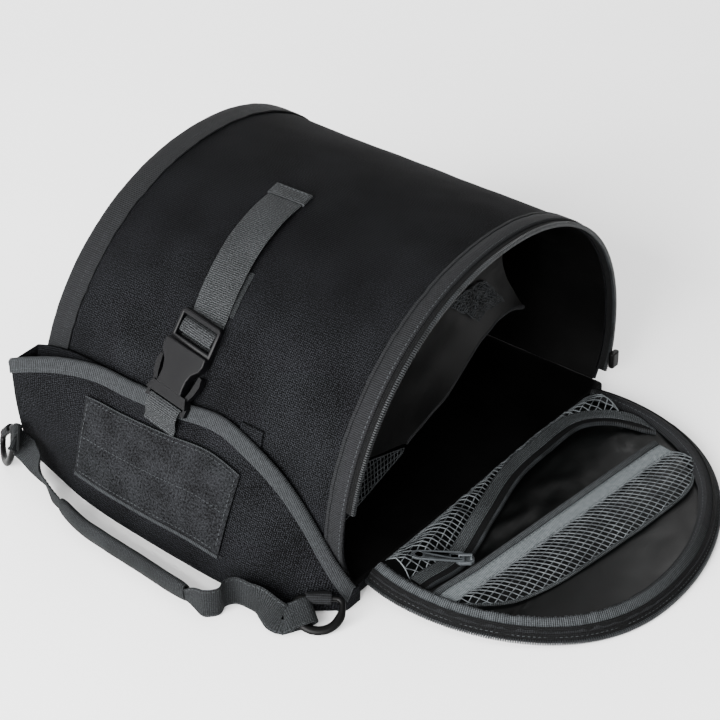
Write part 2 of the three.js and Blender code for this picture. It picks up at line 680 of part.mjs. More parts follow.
// The buckle's own frame: y runs up along it from its lower end, z off the wall.
const buckleHead = onNearWall(BUCKLE_X, BUCKLE_TOP, BUCKLE_LIFT);
const BUCKLE_FOOT = BUCKLE_TOP + BUCKLE_LENGTH * 0.97; // the wall is rounder than the buckle
const buckleFoot = onNearWall(BUCKLE_X - BUCKLE_SLANT, BUCKLE_FOOT, BUCKLE_FOOT_LIFT);
const buckleUp = buckleHead.clone().sub(buckleFoot).normalize();
const buckleOut = vec(1, 0, 0).cross(buckleUp).normalize();
const buckleAcross = buckleUp.clone().cross(buckleOut);
const inBuckle = (x, y, z) => buckleFoot.clone().addScaledVector(buckleAcross, x)
  .addScaledVector(buckleUp, y).addScaledVector(buckleOut, z);

function strapFrames(rows, steps, shift = 0) {
  const points = rows.map(({ down, lift }) => onNearWall(strapX(down) + shift, down, lift));
  const turn = (down) => Math.min(1, down / BUCKLE_TOP) ** 4;
  const sideways = rows.map(({ down }) => vec(1, 0, 0).lerp(buckleAcross, turn(down)));
  return framesThrough(points, sideways, steps)
    .map((f) => ({ ...f, out: f.out.multiplyScalar(f.out.z < 0 ? -1 : 1) }));
}

// A flat outline given a depth along z, with an oblong window where one is named.
function slab(points, depth, window) {
  const shape = new THREE.Shape(points.map(([x, y]) => new THREE.Vector2(x, y)));
  if (window) {
    const { left, right, bottom, top } = window;
    shape.holes.push(new THREE.Path([
      new THREE.Vector2(left, bottom), new THREE.Vector2(right, bottom),
      new THREE.Vector2(right, top), new THREE.Vector2(left, top),
    ]));
  }
  return new THREE.ExtrudeGeometry(shape, { depth, bevelEnabled: false });
}

// The right half of an outline, and its mirror.
const mirrored = (right) => [...right, ...right.slice().reverse().map(([x, y]) => [-x, y])];

function buildStrap() {
  const fold = [0, 0.5, 1].map((share) => ({ down: FOLD_START + share * FOLD_LENGTH, lift: GAP }));
  const foldProfile = webbingProfile(WEBBING + FOLD_EXTRA, 2 * WEBBING_THICKNESS);
  addPiece('strap_fold', sweep(strapFrames(fold, 2), foldProfile), 'webbing');
  const rows = STRAP.map(({ way, lift }) => ({
    down: way < 1 ? mix(FOLD_END, BUCKLE_TOP, way) : BUCKLE_TOP + (way - 1) * BUCKLE_LENGTH,
    lift: lift * BUCKLE_LIFT,
  }));
  const profile = webbingProfile(WEBBING, WEBBING_THICKNESS);
  addPiece('closure_strap', sweep(strapFrames(rows, 60), profile), 'webbing');
  const tail = [0, 0.25, 0.5, 0.75, 1].map((share) =>
    ({ down: BUCKLE_TOP - 6 - share * TAIL_LENGTH, lift: 2 * GAP }));
  const tailFrames = strapFrames(tail.reverse(), 8, TAIL_SHIFT);
  addPiece('strap_tail', sweep(tailFrames, profile), 'webbing');
}

function buildBuckle() {
  const frameHalf = BUCKLE_FRAME / 2;
  const widest = BUCKLE_WIDTH / 2;
  const slotHalf = WEBBING / 2 + 4 * GAP;
  const socketFoot = BUCKLE_LENGTH * 0.2;
  const waist = frameHalf - 7;
  const shoulder = BUCKLE_LENGTH * 0.67;
  const block = slab(mirrored([
    [waist, socketFoot], [waist - 0.6, socketFoot + 5], [waist - 0.4, socketFoot + 11],
    [waist + 1.4, socketFoot + 17], [frameHalf - 1, socketFoot + 22], [frameHalf + 0.6, socketFoot + 27],
    [frameHalf, shoulder],
  ]), BUCKLE_THICKNESS);
  const window = { left: -slotHalf, right: slotHalf, bottom: shoulder + 3, top: BUCKLE_LENGTH - 3.6 };
  const ladder = slab(mirrored([
    [frameHalf, shoulder - 1], [frameHalf, BUCKLE_LENGTH - 2], [frameHalf - 2, BUCKLE_LENGTH],
  ]), BUCKLE_THICKNESS * 0.55, window);
  const socket = asGeometry(asManifold(block).add(asManifold(ladder)));

  const plateTop = socketFoot - GAP;
  const plateFoot = 6;
  const plate = slab(mirrored([
    [frameHalf, plateFoot], [frameHalf - 0.6, plateFoot + 2], [waist + 5, plateFoot + 5],
    [waist + 4.2, plateTop],
  ]), BUCKLE_THICKNESS * 0.8);
  const slot = { left: -slotHalf, right: slotHalf, bottom: 3, top: plateFoot };
  const rails = slab(mirrored([[frameHalf, 0], [frameHalf, plateFoot + 1]]), BUCKLE_THICKNESS * 0.5, slot);
  const inner = waist + 1.6;
  const prongs = asManifold(slab([
    [inner, plateTop - 1], [inner + 3.4, plateTop - 1], [widest - 2, socketFoot + 5],
    [widest - 0.6, socketFoot + 12], [widest - 1.6, socketFoot + 18], [widest - 4, socketFoot + 18.6],
    [inner + 3.6, socketFoot + 13], [inner + 2, socketFoot + 5],
  ], BUCKLE_THICKNESS * 0.6));
  const plug = asManifold(plate).add(asManifold(rails)).add(prongs).add(prongs.mirror([1, 0, 0]));
  const place = new THREE.Matrix4().makeBasis(buckleAcross, buckleUp, buckleOut).setPosition(buckleFoot);
  addPiece('buckle_socket', socket.applyMatrix4(place), 'plastic');
  addPiece('buckle_plug', asGeometry(plug).applyMatrix4(place), 'plastic');

  // The lower webbing comes over the plug's bar and runs down the pocket's face.
  const over = BUCKLE_THICKNESS * 0.5 + 2 * GAP;
  const onFace = (drop, share, off) => offFace(inBuckle(0, -drop, 0).x, share, POCKET_CLEAR + off);
  const route = [inBuckle(0, 5.2, over), inBuckle(0, 0, over), inBuckle(0, -6, over - 1),
    onFace(12, 0.13, TAPE + 3 * GAP), onFace(17, LOOP_TOP - 0.03, 4 * GAP)];
  const frames = framesThrough(route, route.map(() => buckleAcross), 10)
    .map((f) => ({ ...f, out: f.out.multiplyScalar(f.out.y > 0 ? -1 : 1) }));
  addPiece('strap_lower', sweep(frames, webbingProfile(WEBBING, WEBBING_THICKNESS)), 'webbing');
}

// A point standing off the pocket's face.
function offFace(x, share, off) {
  const here = pocketFace(x, share);
  const down = pocketFace(x, share + 0.04).sub(here).normalize();
  return here.addScaledVector(vec(0, down.z, -down.y).normalize(), off);
}

function buildLoopPanel() {
  const columns = 10;
  const face = pocketFace(LOOP_X, 0).distanceTo(pocketFace(LOOP_X, 0.94)) / 0.94;
  const grid = [0, 0.25, 0.5, 0.75, 1].map((share) => {
    const row = [];
    for (let j = 0; j <= columns; j++) {
      const x = LOOP_X + LOOP_WIDTH * (j / columns - 0.5);
      row.push(offFace(x, LOOP_TOP + share * (LOOP_HEIGHT / face), POCKET_CLEAR));
    }
    return row;
  });
  addPiece('loop_panel', cloth(grid, -LOOP_THICKNESS), 'loop');
}

// A tab of webbing on the wall, showing over the pocket's edge.
function buildTab() {
  const shown = downTo(pocketFace(TAB_X, 0).z + TAB_PROUD + TAPE);
  const frames = [0, 1].map((side) => ({
    at: onNearWall(TAB_X + side * TAB_WIDTH, shown, 0),
    across: onNearWall(0, shown + 1, 0).sub(onNearWall(0, shown, 0)).normalize(),
    out: arch.at(nearShare(shown)).normal,
  }));
  const profile = [[0, GAP], [TAB_HEIGHT, GAP], [TAB_HEIGHT, GAP + TAPE], [0, GAP + TAPE]];
  addPiece('body_tab', sweep(frames, profile), 'webbing');
}

// Half width of the pocket's foot at x, from the table's reach.
function footHalf(x) {
  return -pocketFace(x, FACE_SHARES[FACE_SHARES.length - 1]).y;
}

// D-rings: where their tab is sewn on the pocket, the arc's middle from there, the bar's
// direction and the direction away from the bar.
const RINGS = {
  left: {
    anchor: pocketFace(-HALF * 1.02, 0.86).add(vec(-CLOTH, -CLOTH, 0)),
    centre: vec(-8.1, -8, 5.9), along: vec(0.669, -0.258, 0.704), away: vec(0.5, -0.57, -0.66),
  },
  right: {
    anchor: offFace(HALF * 0.93, 0.6, 2 * WEBBING_THICKNESS),
    centre: vec(7.1, -7.4, -4.1), along: vec(0.8, 0.58, 0), away: vec(0.49, -0.68, -0.55),
  },
};
for (const ring of Object.values(RINGS)) ring.centre.add(ring.anchor);
const RING_RADIUS = (RING_WIDTH - RING_WIRE) / 2;
const BAR_SETBACK = RING_RADIUS * 0.4;

function ringPath(ring) {
  const flat = [];
  const arcSteps = 12;
  for (let i = 0; i <= arcSteps; i++) {
    const angle = (i / arcSteps) * Math.PI;
    flat.push([RING_RADIUS * Math.cos(angle), RING_RADIUS * Math.sin(angle)]);
  }
  const corner = RING_WIRE * 0.6;
  flat.push([-RING_RADIUS, -BAR_SETBACK + corner], [corner - RING_RADIUS, -BAR_SETBACK]);
  flat.push([RING_RADIUS - corner, -BAR_SETBACK], [RING_RADIUS, -BAR_SETBACK + corner]);
  return flat.map(([a, b]) =>
    ring.centre.clone().addScaledVector(ring.along, a).addScaledVector(ring.away, b));
}

function buildRing(side) {
  const ring = RINGS[side];
  const path = ringPath(ring);
  const normal = ring.along.clone().cross(ring.away).normalize();
  const frames = path.map((at, i) => {
    const tangent = path[(i + 1) % path.length].clone().sub(path.at(i - 1));
    return { at, across: tangent.cross(normal).normalize(), out: normal };
  });
  const profile = [];
  for (let i = 0; i < 8; i++) {
    const angle = (i / 8) * 2 * Math.PI;
    profile.push([Math.cos(angle) * RING_WIRE / 2, Math.sin(angle) * RING_WIRE / 2]);
  }
  addPiece(`dring_${side}`, sweep(frames, profile, true), 'plastic');

  // A tab of webbing round the ring's bar, running back to the pocket's corner.
  const bar = ring.centre.clone().addScaledVector(ring.away, -BAR_SETBACK);
  const r = RING_WIRE / 2 + GAP;
  const route = [ring.anchor];
  const back = ring.anchor.clone().sub(bar).projectOnPlane(ring.along).normalize();
  const lift = ring.along.clone().cross(back);
  for (let i = 0; i <= 6; i++) {
    const angle = Math.PI * (0.5 + i / 6);
    route.push(bar.clone().addScaledVector(back, Math.cos(angle) * r)
      .addScaledVector(lift, Math.sin(angle) * r));
  }
  const tabFrames = framesThrough(route, route.map(() => ring.along), 20)
    .map((f) => ({ ...f, out: f.out.multiplyScalar(-1) }));
  const start = webbingProfile(TAB_WEBBING, WEBBING_THICKNESS);
  addPiece(`dring_tab_${side}`, sweep(tabFrames, start.map(([a, b]) => [a, -b])), 'webbing');
}

// The handle, laid on the floor beside the pocket. along runs from the ring's middle (0)
// to the end of the grip (1), off is the distance from the pocket's foot as a share of
// the grip's, width is a share of the webbing's, and lift raises it off the floor.
const LEFT_WEB = [
  { along: 0.171, off: 0.7, width: 0.58, lift: 1.06, side: vec(0.5, -0.57, -0.66) },
  { along: 0.275, off: 0.574, width: 0.79, lift: 0.68, side: vec(0.3, -0.4, -0.87) },
  { along: 0.438, off: 0.517, width: 0.92, lift: 0.24, side: vec(0, -0.2, -0.98) },
  { along: 0.625, off: 0.633, width: 0.92, lift: 0.07, side: vec(-0.3, 0.5, -0.8) },
  { along: 0.8, off: 0.765, width: 0.71, lift: 0.09, side: vec(-0.1, 0.2, -0.97) },
  { along: 0.963, off: 0.804, width: 0.46, lift: 0.165, side: vec(0, 0.1, -0.99) },
  { along: 1.075, off: 0.848, width: 0.375, lift: 0.208, side: vec(0, 0.1, -0.99) },
];
const GRIP = [
  { along: 0, off: 0.806 }, { along: 0.18, off: 0.95 }, { along: 0.39, off: 0.99 },
  { along: 0.6, off: 1.01 }, { along: 0.81, off: 1.06 }, { along: 1, off: 1.102 },
];
const RIGHT_WEB = [
  { along: 1.095, off: 1.093, width: 0.375, lift: 0.208, side: vec(0, 0.1, -0.99) },
  { along: 0.988, off: 1.108, width: 0.46, lift: 0.165, side: vec(0, 0.1, -0.99) },
  { along: 0.881, off: 1.148, width: 0.79, lift: 0.07, side: vec(0, 0, -1) },
  { along: 0.774, off: 1.178, width: 1, lift: 0.01, side: vec(0, 0, -1) },
  { along: 0.702, off: 0.896, width: 1, lift: 0.01, side: vec(0, 0, -1) },
  { along: 0.732, off: 0.547, width: 1, lift: 0.01, side: vec(0, 0, -1) },
  { along: 0.679, off: 0.264, width: 1, lift: 0.01, side: vec(0, 0, -1) },
  { along: 0.524, off: 0.264, width: 1, lift: 0.01, side: vec(0, 0, -1) },
  { along: 0.345, off: 0.43, width: 0.92, lift: 0.05, side: vec(0.15, -0.3, -0.93) },
  { along: 0.214, off: 0.457, width: 0.71, lift: 0.12, side: vec(0.49, -0.68, -0.55) },
];

// A point beside the pocket, on the floor or lifted.
function besidePocket(x, row, halfWidth) {
  const rise = (row.lift ?? 0) * HANDLE_WEBBING;
  return vec(x, -footHalf(x) - row.off * HANDLE_OFF, FLOOR_CLEAR + halfWidth + rise);
}

function taperedWeb(rows, ringX, gripX, steps) {
  const widths = rows.map((row) => row.width * HANDLE_WEBBING);
  const points = rows.map((row, i) => besidePocket(mix(ringX, gripX, row.along), row, widths[i] / 2));
  const frames = framesThrough(points, rows.map((row) => row.side), steps);
  const width = new THREE.CatmullRomCurve3(widths.map((value) => vec(value, 0, 0)));
  return loft(frames.map((f, i) =>
    webbingProfile(width.getPoint(i / steps).x, WEBBING_THICKNESS).map(([a, b]) => placed(f, a, b))));
}

function buildHandle() {
  const gripEnd = GRIP_START + GRIP_LENGTH;
  const leftWeb = taperedWeb(LEFT_WEB, RINGS.left.centre.x, GRIP_START, 20);
  addPiece('handle_web_left', leftWeb, 'webbing');
  const rightWeb = taperedWeb(RIGHT_WEB, RINGS.right.centre.x, gripEnd, 36);
  addPiece('handle_web_right', rightWeb, 'webbing');
  const points = GRIP.map((row) => besidePocket(mix(GRIP_START, gripEnd, row.along), row, GRIP_WIDTH / 2));
  const frames = framesThrough(points, GRIP.map(() => vec(0, 0.2, -0.98)), 10);
  const oval = (width, thickness) => {
    const ring = [];
    for (let i = 0; i < 10; i++) {
      const angle = (i / 10) * 2 * Math.PI;
      const out = (Math.sin(angle) * thickness + WEBBING_THICKNESS) / 2;
      ring.push([Math.cos(angle) * width / 2, out]);
    }
    return ring;
  };
  const skin = (width, thickness) =>
    frames.map((f) => oval(width, thickness).map(([a, b]) => placed(f, a, b)));
  const outside = skin(GRIP_WIDTH, GRIP_THICKNESS);
  const inside = skin(GRIP_WIDTH - 2 * GRIP_WALL, GRIP_THICKNESS - 2 * GRIP_WALL);
  addPiece('handle_grip', loft([...outside, ...inside.reverse()], true), 'webbing');
}

// The flap inside the mouth: its sewn edge follows the near wall up to the apex, and its
// bound free edge hangs across the opening. side is a share of the greatest half width,
// height of the arch's height over the seam, and depth of the flap's reach.
const FLAP_EDGE = [
  { side: -0.5, height: 0.363, depth: 0.27 }, { side: -0.332, height: 0.373, depth: 0.37 },
  { side: -0.145, height: 0.393, depth: 0.46 }, { side: 0.06, height: 0.437, depth: 0.61 },
  { side: 0.224, height: 0.471, depth: 0.71 }, { side: 0.35, height: 0.471, depth: 0.8 },
  { side: 0.495, height: 0.447, depth: 0.9 }, { side: 0.628, height: 0.393, depth: 1 },
];

function buildInside() {
  const low = arch.nearAt(FLAP_LOW * ARCH_HEIGHT);
  const last = FLAP_EDGE.length - 1;
  const onWall = (u) => wallPoint(HALF - FLAP_DEPTH, u, -WALL - INSIDE_CLEAR);
  const grid = FLAP_EDGE.map((row, i) => {
    const height = row.height * ARCH_HEIGHT;
    const free = vec(HALF - row.depth * FLAP_REACH, row.side * BULGE_HALF, SEAM + height);
    const edge = onWall(mix(low, FLAP_HIGH, i / last));
    return [0, 0.33, 0.67, 1].map((share) => {
      const p = edge.clone().lerp(free, share);
      p.x -= FLAP_SAG * Math.sin(Math.PI * share) * (i / last);
      return p;
    });
  });
  addPiece('inner_flap', cloth(grid, -FLAP_THICKNESS), 'lining');

  // The mesh below it runs out to a blunt tip just short of the flap's free edge.
  const drop = 2 * FLAP_THICKNESS;
  const tip = grid[0].at(-1).clone().add(vec(0, -2 * drop, -2 * drop));
  const blunt = vec(0, -drop, -2 * drop);
  const rows = [0, 0.33, 0.67, 1].map((share) => {
    const upper = onWall(low).add(vec(0, 0, -drop)).lerp(tip, share);
    const lower = onWall(arch.nearAt(MESH_LOW * ARCH_HEIGHT)).lerp(tip.clone().add(blunt), share);
    return [upper, lower];
  });
  addPiece('inner_mesh', cloth(rows, -MESH_CLOTH), 'mesh');
}

function buildSlider() {
  const holder = new THREE.Group();
  holder.position.copy(doorPath(UPPER_ZIP).getPoint(SLIDER_SHARE));
  holder.position.z += COIL_RADIUS + SLIDER_CLEAR + SLIDER_HEIGHT / 2;
  holder.rotation.z = THREE.MathUtils.degToRad(PULL_AZIMUTH);
  bag.add(holder);
  const leg = BRIDGE_SPAN - BRIDGE_BAR;
  const bridge = slab(mirrored([
    [BRIDGE_SPAN, BRIDGE_RISE + BRIDGE_BAR], [BRIDGE_SPAN, -1], [leg, -1], [leg, BRIDGE_RISE],
  ]), BRIDGE_WIDTH);
  bridge.translate(0, 0, -BRIDGE_WIDTH / 2).rotateX(Math.PI / 2).translate(0, 0, SLIDER_HEIGHT / 2);
  const body = sliderBody(SLIDER_LENGTH, SLIDER_WIDTH, SLIDER_HEIGHT);
  const slider = asGeometry(asManifold(body).add(asManifold(bridge)));
  addPiece('pocket_slider', slider, 'zinc', holder);

  // The tab points along +x of the holder and turns about its bar, under the bridge.
  const hinge = new THREE.Group();
  hinge.position.set(PIVOT_BACK, 0, (SLIDER_HEIGHT + BRIDGE_RISE) / 2);
  hinge.rotation.y = -THREE.MathUtils.degToRad(PULL_RISE);
  holder.add(hinge);
  const half = PULL_WIDTH / 2;
  const tip = PULL_LENGTH - PULL_BAR / 2;
  const upperEdge = [
    [-PULL_BAR / 2, half - 1], [2, half], [tip - 4, half * 0.85], [tip - 1, half * 0.55], [tip, 0],
  ];
  const lowerEdge = upperEdge.slice(0, -1).reverse().map(([x, y]) => [x, -y]);
  const windowHalf = BRIDGE_WIDTH / 2 + 2 * GAP;
  const window = {
    left: PULL_BAR / 2, right: PULL_BAR / 2 + PULL_WINDOW, bottom: -windowHalf, top: windowHalf,
  };
  const plate = asManifold(slab([...upperEdge, ...lowerEdge], PULL_THICKNESS, window));
  const drill = new THREE.CylinderGeometry(PULL_HOLE / 2, PULL_HOLE / 2, 2 * PULL_THICKNESS, 16);
  drill.rotateX(Math.PI / 2).translate(tip - PULL_HOLE, 0, PULL_THICKNESS / 2);
  const tab = asGeometry(plate.subtract(asManifold(drill))).translate(0, 0, -PULL_THICKNESS / 2);
  addPiece('pull_tab', tab, 'zinc', hinge);
}

bag.name = 'helmet_bag';
buildTunnel();
buildDoor();
buildDoorPocket();
buildSlider();
buildFrontPocket();
buildLoopPanel();
buildTab();
buildStrap();
buildBuckle();
buildRing('left');
buildRing('right');
buildHandle();
buildInside();

export default bag;
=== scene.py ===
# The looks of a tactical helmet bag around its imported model.
# Lengths are in millimetres until a mesh is made, and in metres in Blender.
import math

import bmesh
import bpy
from mathutils import Matrix, Vector, noise


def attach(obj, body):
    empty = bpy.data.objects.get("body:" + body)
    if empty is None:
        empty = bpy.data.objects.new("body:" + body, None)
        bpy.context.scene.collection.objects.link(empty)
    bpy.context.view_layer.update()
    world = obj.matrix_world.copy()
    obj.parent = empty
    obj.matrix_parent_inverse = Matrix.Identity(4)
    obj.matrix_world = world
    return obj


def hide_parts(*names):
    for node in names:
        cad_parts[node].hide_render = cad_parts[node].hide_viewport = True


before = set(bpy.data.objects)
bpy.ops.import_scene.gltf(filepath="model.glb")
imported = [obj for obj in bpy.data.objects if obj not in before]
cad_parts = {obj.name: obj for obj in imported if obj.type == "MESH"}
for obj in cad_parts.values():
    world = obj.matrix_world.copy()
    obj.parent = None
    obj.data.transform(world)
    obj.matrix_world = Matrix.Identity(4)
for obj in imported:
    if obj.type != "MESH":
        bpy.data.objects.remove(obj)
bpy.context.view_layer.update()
MM = 0.001

# Tunnel
TUNNEL_LENGTH = 290
BASE_HALF = 156
BULGE_HALF = 165.5
BULGE_HEIGHT = 36
ARCH_HEIGHT = 203
SQUARENESS = 2.1
END_LEAN = 0.092
MOUTH_LEAN = 0.049
WALL = 3
PAD_THICKNESS = 12
PAD_OVERHANG = 1.5
END_DOME = 5

# Tapes, zips and cloth
GAP = 0.3
TAPE = 1.3
CLOTH = 2
END_BAND = 16.7
END_BACK = 9
MOUTH_BAND = 21
MOUTH_TAPE = 7
COIL_RADIUS = 1.6
ZIP_THICKNESS = 1.2
MOUTH_ZIP_START = 0.11
MOUTH_ZIP_END = 0.985

# Door
DOOR_LENGTH = 179
DOOR_HALF = 151
DOOR_BASE_HALF = 146
DOOR_BULGE = 35
DOOR_TWIST = 20
DOOR_PANEL = 6.5
DOOR_RIM = 11.5
DOOR_EDGE = 8.5
DOOR_BAND = 18
HINGE_RISE = 6
FLOOR_CLEAR = 0.3
FACING = 17
LOWER_TAPE = 5
TRIM_BAND = 13

# Front pocket
POCKET_HEIGHT = 107
POCKET_REACH = 53
POCKET_PROUD = 27
POCKET_BELLY = 4
POCKET_BINDING = 11
LOOP_X = -14
LOOP_TOP = 0.2
LOOP_WIDTH = 146
LOOP_HEIGHT = 62
TAB_X = 45
TAB_WIDTH = 20

# Strap, rings and handle
WEBBING = 30
WEB_THICKNESS = 1.5
FOLD_START = 29
FOLD_LENGTH = 11
STRAP_TOP_X = -11
BUCKLE_LENGTH = 70
BUCKLE_THICKNESS = 9
BUCKLE_ABOVE = 64
BUCKLE_LIFT = 5.5
BUCKLE_FOOT_LIFT = 8.2
BUCKLE_X = -6
BUCKLE_SLANT = 10
TAIL_SHIFT = 3
HANDLE_WEBBING = 24
HANDLE_OFF = 26
GRIP_START = -78
GRIP_LENGTH = 136
GRIP_WIDTH = 19
GRIP_THICKNESS = 9

HALF = TUNNEL_LENGTH / 2
SEAM = PAD_THICKNESS + GAP
PAD_HALF = BASE_HALF + PAD_OVERHANG
PAD_BACK = -HALF - WALL - 2 * TAPE
PAD_FRONT = HALF + PAD_OVERHANG
HINGE = PAD_FRONT + GAP
WRAP_END = HALF - MOUTH_TAPE
DOOR_TOP = DOOR_PANEL + GAP

# Texture sizes, coarser than the real thread where that is too fine to show
WEAVE = 1.5
RIB = 1.5
NET_PITCH = 4.5
STRAND = 1.15
STRAND_STRETCH = 1.1
NET_LEAN = (0.23, 0.5)
# Lengths along the rim tape, in metres, over which painted shade darkens it.
RIM_SHADE_FADE = (0.17, 0.34)
TOOTH_PITCH = 1.7
STITCH_LENGTH = 2.7
STITCH_WIDTH = 0.55
STITCH_PITCH = 3.7

# Camera
CAMERA_AT = Vector((0.980, -1.228, 1.133))
CAMERA_AIM = Vector((0.0272, 0.0, 0.0668))
CAMERA_ROLL = math.radians(0.226)
LENS = 125.1
SENSOR = 36


def vec(x, y, z):
    return Vector((x, y, z))


def mix(a, b, share):
    return a + (b - a) * share


def clamp(value, low, high):
    return max(low, min(high, value))


def halve(low, high, steps, below):
    """The value up to which below() holds, found by halving the range."""
    for _ in range(steps):
        middle = (low + high) / 2
        if below(middle):
            low = middle
        else:
            high = middle
    return low


def lengths_along(points):
    """How far along a line of points each one lies."""
    lengths = [0.0]
    for a, b in zip(points, points[1:]):
        lengths.append(lengths[-1] + (b - a).length)
    return lengths


# Stage
def make_camera():
    data = bpy.data.cameras.new("camera")
    data.lens = LENS
    data.sensor_width = SENSOR
    camera = bpy.data.objects.new("camera", data)
    bpy.context.scene.collection.objects.link(camera)
    turn = (CAMERA_AIM - CAMERA_AT).to_track_quat("-Z", "Y").to_matrix().to_4x4()
    camera.matrix_world = Matrix.Translation(CAMERA_AT) @ turn @ Matrix.Rotation(CAMERA_ROLL, 4, "Z")
    bpy.context.scene.camera = camera


def add_light(name, at, aim, size, power):
    data = bpy.data.lights.new(name, "AREA")
    data.size = size
    data.energy = power
    light = bpy.data.objects.new(name, data)
    bpy.context.scene.collection.objects.link(light)
    light.location = at
    light.rotation_euler = (aim - at).to_track_quat("-Z", "Y").to_euler()


def make_stage():
    bpy.ops.object.select_all(action="DESELECT")
    bpy.ops.mesh.primitive_plane_add(size=12, location=(0, 0, 0))
    floor = bpy.context.active_object
    floor.name = "floor"
    floor.data.materials.append(pale_floor())
    middle = vec(0.05, 0, 0.08)
    add_light("key", vec(0.1, -2.9, 1.0), middle, 2.4, 580)
    add_light("side", vec(1.7, -2.3, 1.3), middle, 1.8, 70)
    add_light("top", vec(-0.3, 0.6, 2.8), middle, 2.4, 30)
    add_light("back", vec(-2.2, 2.0, 1.5), middle, 2.0, 90)
    world = bpy.data.worlds.new("studio")
    bpy.context.scene.world = world
    world.use_nodes = True
    world.node_tree.nodes["Background"].inputs["Color"].default_value = (*linear("#ffffff"), 1)
    world.node_tree.nodes["Background"].inputs["Strength"].default_value = 0.92


# Materials
def linear(hex_colour):
    """The linear red, green and blue of an sRGB hex colour."""
    parts = [int(hex_colour[i:i + 2], 16) / 255 for i in (1, 3, 5)]
    return tuple(c / 12.92 if c <= 0.04045 else ((c + 0.055) / 1.055) ** 2.4 for c in parts)


def add_node(tree, kind, links=(), values=(), **settings):
    """One node, with its settings, its inputs' values and its links from other sockets."""
    node = tree.nodes.new(kind)
    for name, value in settings.items():
        setattr(node, name, value)
    for name, value in dict(values).items():
        node.inputs[name].default_value = value
    for name, socket in dict(links).items():
        tree.links.new(socket, node.inputs[name])
    return node


def new_material(name, roughness, metallic=0.0, specular=0.5):
    material = bpy.data.materials.new(name)
    material.use_nodes = True
    shader = material.node_tree.nodes["Principled BSDF"]
    shader.inputs["Roughness"].default_value = roughness
    shader.inputs["Metallic"].default_value = metallic
    shader.inputs["Specular IOR Level"].default_value = specular
    return material, material.node_tree, shader


def colour_ramp(tree, factor, dark, light, low=0.3, high=0.7):
    ramp = add_node(tree, "ShaderNodeValToRGB", {"Fac": factor})
    ramp.color_ramp.elements[0].position = low
    ramp.color_ramp.elements[0].color = (*linear(dark), 1)
    ramp.color_ramp.elements[1].position = high
    ramp.color_ramp.elements[1].color = (*linear(light), 1)
    return ramp.outputs["Color"]


def bump(tree, shader, height, strength, distance):
    node = add_node(tree, "ShaderNodeBump", {"Height": height},
                    {"Strength": strength, "Distance": distance})
    tree.links.new(node.outputs["Normal"], shader.inputs["Normal"])


def waves(tree, coordinates, pitch, direction, distortion=0.0):
    """Bands across one direction, one for each pitch in millimetres."""
    return add_node(tree, "ShaderNodeTexWave", {"Vector": coordinates},
                    {"Scale": 2 * math.pi / 20 / (pitch * MM), "Distortion": distortion,
                     "Detail": 1.0, "Detail Scale": 2.0},
                    bands_direction=direction).outputs["Fac"]


def maths(tree, operation, a, b):
    node = tree.nodes.new("ShaderNodeMath")
    node.operation = operation
    for socket, value in zip(node.inputs, (a, b)):
        if isinstance(value, (int, float)):
            socket.default_value = value
        else:
            tree.links.new(value, socket)
    return node.outputs["Value"]


def woven(name, dark, light, pitch, ratio=1.0, roughness=0.9, depth=0.35, blotch=0.4, specular=0.08,
          speck=1.6, upper=1.0):
    """Cloth woven of round threads: two sets of bands, specks and a soft blotch of wear over them, and
    painted shade that darkens it high up, on the roof, by the share upper."""
    material, tree, shader = new_material(name, roughness, specular=specular)
    uv = add_node(tree, "ShaderNodeUVMap").outputs["UV"]
    warp = waves(tree, uv, pitch, "X", 0.8)
    weft = waves(tree, uv, pitch * ratio, "Y", 0.8)
    threads = maths(tree, "MULTIPLY", warp, weft)
    grain = add_node(tree, "ShaderNodeTexNoise", {"Vector": uv},
                     {"Scale": 1 / (0.95 * MM), "Detail": 2.0}).outputs["Fac"]
    cloud = add_node(tree, "ShaderNodeTexNoise", {"Vector": uv},
                     {"Scale": 1 / (45 * MM), "Detail": 3.0}).outputs["Fac"]
    speckle = maths(tree, "ADD", maths(tree, "MULTIPLY", threads, 0.5),
                    maths(tree, "MULTIPLY", maths(tree, "SUBTRACT", grain, 0.5), speck))
    shade = maths(tree, "ADD", speckle, maths(tree, "MULTIPLY", maths(tree, "SUBTRACT", cloud, 0.5), blotch))
    # Painted shade on the roof: the colour darkens with height, down to the share upper at the top.
    if upper < 1:
        place = add_node(tree, "ShaderNodeTexCoord").outputs["Object"]
        height = add_node(tree, "ShaderNodeSeparateXYZ", {"Vector": place}).outputs["Z"]
        shade_fade = add_node(tree, "ShaderNodeMapRange", {"Value": height},
                        {"From Min": 130 * MM, "From Max": 225 * MM, "To Min": 1.0, "To Max": upper})
        shade = maths(tree, "MULTIPLY", shade, shade_fade.outputs["Result"])
    tree.links.new(colour_ramp(tree, shade, dark, light, 0.0, 0.8), shader.inputs["Base Color"])
    bump(tree, shader, maths(tree, "ADD", threads, maths(tree, "MULTIPLY", grain, 0.8)), depth, 0.5 * MM)
    return material


